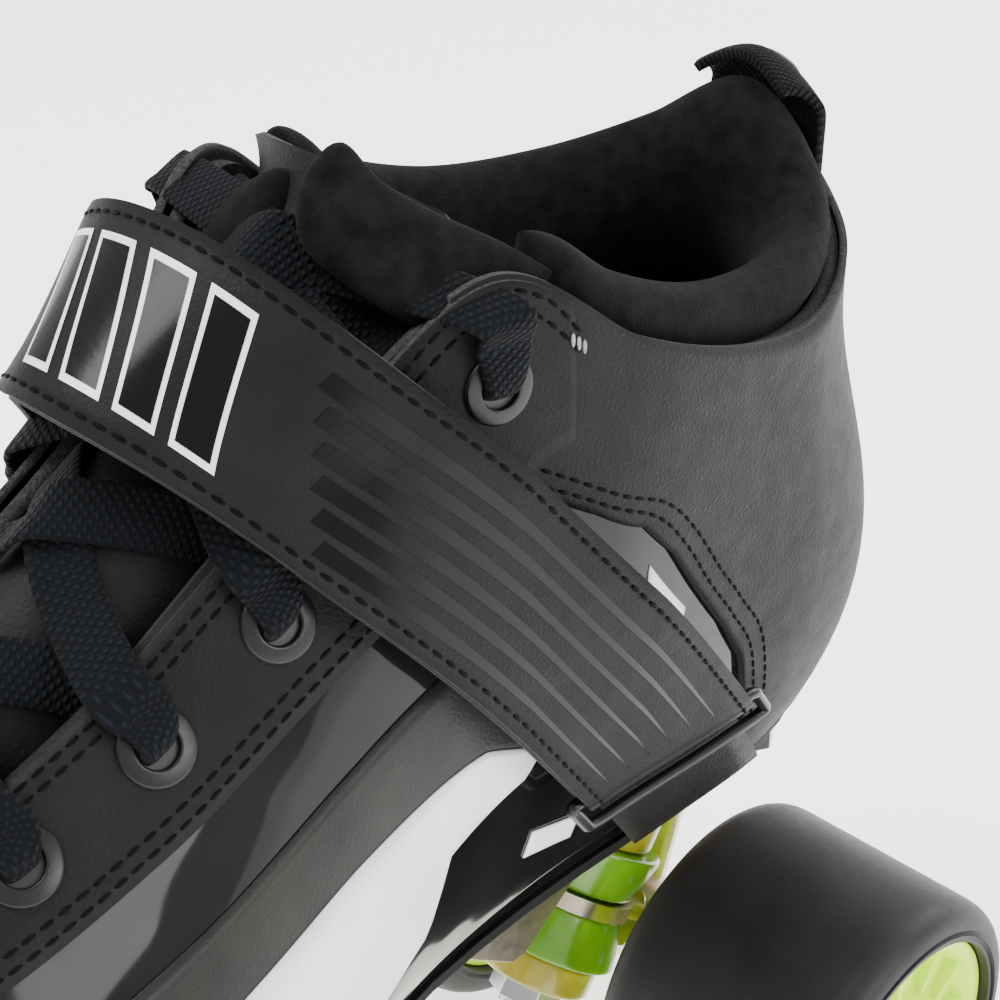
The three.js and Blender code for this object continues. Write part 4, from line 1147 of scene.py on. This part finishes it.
def band_sheet(name, t0, t1, low, high, lift, thick, looks, body, steps, columns=6):
    def place(t, share):
        return band_line(t, low(t) + (high(t) - low(t)) * share, lift)
    middle = (t0 + t1) / 2
    out = band_out(middle, 0, lift)
    ts = spaced(t0, t1, steps)
    return cut_sheet(name, place, ts, spaced(0, 1, columns), out, thick, looks, body)


def half_width(t, end, reach):
    """The strap's half width, rounded off towards an end."""
    near = min(max(1 - abs(end - t) / reach, 0), 1)
    return STRAP_HALF * math.sqrt(max(1 - 0.45 * near ** 4, 0))


strap_look = leather_finish("strap_leather", (0.0068, 0.0063, 0.0056), (0.0115, 0.0106, 0.0094),
                            0.35)
under = band_sheet("instep_strap_leather", -0.985, FOLD_T, lambda t: -STRAP_HALF,
                   lambda t: STRAP_HALF, STRAP_LIFT + STRAP_T, STRAP_T, [strap_look, edge_look],
                   "skate_frame", 90)
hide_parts("instep_strap")
flap = band_sheet("strap_flap_leather", FLAP_START, FLAP_END, lambda t: -half_width(t, FLAP_START, 0.03),
                  lambda t: half_width(t, FLAP_START, 0.03), FLAP_TOP, STRAP_T,
                  [strap_look, edge_look], "strap_flap", 110, 8)
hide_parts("strap_flap")


def fold_point(k, share):
    turn_by = math.pi * (k - 0.5)
    t = FLAP_END + 0.022 * math.cos(turn_by)
    middle = (STRAP_LIFT + FLAP_LIFT + 2 * STRAP_T) / 2 - STRAP_T / 2
    return band_line(t, STRAP_HALF * (2 * share - 1), middle + 1.85 * math.sin(turn_by))


cut_sheet("strap_fold_leather", fold_point, spaced(0, 1, 16), spaced(0, 1, 6),
          band_line(0.9, 0, 5) - band_line(0.8, 0, 5), 1.2, [strap_look, edge_look])


def seam_t(k, start=0.0):
    return FLAP_START + start + (FLAP_END - FLAP_START) * k


strap_seams = bmesh.new()
for across in (-12.2, 12.2):
    sew(strap_seams, lambda k: band_line(seam_t(k, 0.012), across, FLAP_TOP),
        lambda k: band_out(seam_t(k), across, FLAP_LIFT), 2.7, 2.25, 0.66)
thread_object("strap_stitching", strap_seams, thread_look, "strap_flap")

print_look = finish("gloss_print", (0.001, 0.001, 0.001), 0.16, specular=0.2,
                    rough=(700, 0.12, 0.24), grain=[(1500, 0.1, 0.0001)])
STRIPE_COUNT = 6
STRIPE_END = 0.74
BAR_COUNT = 4


def stripe_half(t, start):
    """Half the width of a printed stripe, which tapers towards the fold."""
    return 0.12 + 1.15 * (STRIPE_END - t) / (STRIPE_END - start)


for i in range(STRIPE_COUNT):
    centre = 8.2 - 3.55 * i
    start = 0.24 + 0.022 * i
    band_sheet(f"print_stripe_{i + 1}", start, STRIPE_END, lambda t: centre - stripe_half(t, start),
               lambda t: centre + stripe_half(t, start), FLAP_TOP + 0.08, 0.07, [print_look],
               "strap_flap", 50, 2)


def slanted_bar(name, t0, grow, lift, look):
    """A plain slanted parallelogram across the strap."""
    def place(share_t, share_a):
        across = (-8.6 - grow) + (17.2 + 2 * grow) * share_a
        t = t0 - 0.007 * grow + (0.048 + 0.014 * grow) * share_t - 0.0042 * across
        return band_line(t, across, FLAP_TOP + lift)
    cut_sheet(name, place, spaced(0, 1, 8), spaced(0, 1, 14), band_out(t0, 0, FLAP_LIFT), 0.06,
              [look], "strap_flap")


for i in range(BAR_COUNT):
    place_t = -0.115 + 0.082 * i
    slanted_bar(f"print_bar_outline_{i + 1}", place_t, 1, 0.08, film_look)
    slanted_bar(f"print_bar_{i + 1}", place_t, 0, 0.15, print_look)

WIRE_R = 0.95
RING_CORNERS = [(0.768, -15.8), (0.768, 15.8), (0.822, 15.8), (0.822, -15.8)]


def ring_wire(k):
    corner = k * 4
    i = int(corner) % 4
    (t0, a0), (t1, a1) = RING_CORNERS[i], RING_CORNERS[(i + 1) % 4]
    share = corner - int(corner)
    return band_line(t0 + (t1 - t0) * share, a0 + (a1 - a0) * share, 6.3)


def round_wire(k):
    near = 0.012
    return sum((ring_wire((k + d * near) % 1) for d in (-2, -1, 0, 1, 2)), Vector()) / 5


def ring_point(k, turn_by):
    at = round_wire(k)
    along = (round_wire(k + 0.01) - at).normalized()
    out = Vector((0, 1, 0.3)).normalized()
    across = along.cross(out).normalized()
    out = across.cross(along)
    angle = 2 * math.pi * turn_by
    return at + (across * math.cos(angle) + out * math.sin(angle)) * WIRE_R


made = closed_piece("strap_wire_ring", ring_point, spaced(0, 1, 120), spaced(0, 1, 14),
                    gunmetal_look)
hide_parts("strap_ring")
tab = band_sheet("ring_tab_leather", 0.845, 0.985, lambda t: -12, lambda t: 12, 3.4, 1.4,
                 [strap_look, edge_look], "skate_frame", 10)
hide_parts("ring_tab")

# ---- Heel pull tab ----
# A strip of navy-black webbing sewn on the heel and turned over the collar's crest, with a
# grey satin band down its middle and twin rows of thread in the leather round its foot.
TAB_OVER = [(-0.4, 4), (0.0, 9.5), (4, 13.2), (9, 13.4), (13.5, 9.5)]
TAB_FOOT_V = 0.62
TAB_ROWS = 5
TAB_LIFT = 2.9
TAB_HALF_U = 0.045


def tab_line(w, k, lift):
    if k < TAB_ROWS:
        v = TAB_FOOT_V + (1 - TAB_FOOT_V) * k / TAB_ROWS
        return on_wall(w, min(v, 1), TAB_LIFT + lift)
    last = len(TAB_OVER) - 1
    s = min(k - TAB_ROWS, last)
    i = min(int(s), last - 1)
    near = [TAB_OVER[min(max(i + d, 0), last)] for d in (-1, 0, 1, 2)]
    inward, rise = (spline(*(p[c] for p in near), s - i) for c in range(2))
    return over_top(w, rise + lift * 0.5, inward - COLLAR_IN - lift)


def tab_sheet(name, half, start, end, lift, thick, look):
    return cut_sheet(name, lambda w, k: tab_line(w, k, lift), spaced(-half, half, 14),
                     spaced(start, end, 50), Vector((-1, 0, 0)), thick, [look])


webbing_look = woven_finish("tab_webbing", (0.0015, 0.002, 0.003), (0.005, 0.0065, 0.009), 0.0009)
tab = tab_sheet("pull_tab_webbing", TAB_HALF_U, 0, 7.9, 0, 1.5, webbing_look)
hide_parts("pull_tab")
grey_look = leather_finish("grey_satin", (0.16, 0.17, 0.18), (0.26, 0.27, 0.28), 0.1, (0.16, 0.3))
tab_sheet("pull_tab_grey_band", 0.02, 0.5, 6.5, 0.35, 0.3, grey_look)
border = bmesh.new()
for inset in (0.0, 0.011):
    loop = [(0.062 - inset, 1.0), (0.062 - inset, 0.8), (0.06 - inset, 0.62 + inset),
            (0.04 - inset * 0.6, 0.53 + 2 * inset), (0.003, 0.49 + 2 * inset)]
    for side in (1, -1):
        wall_stitches(border, side, loop, QUARTER_LIFT)
thread_object("heel_border_stitching", border, thread_look)
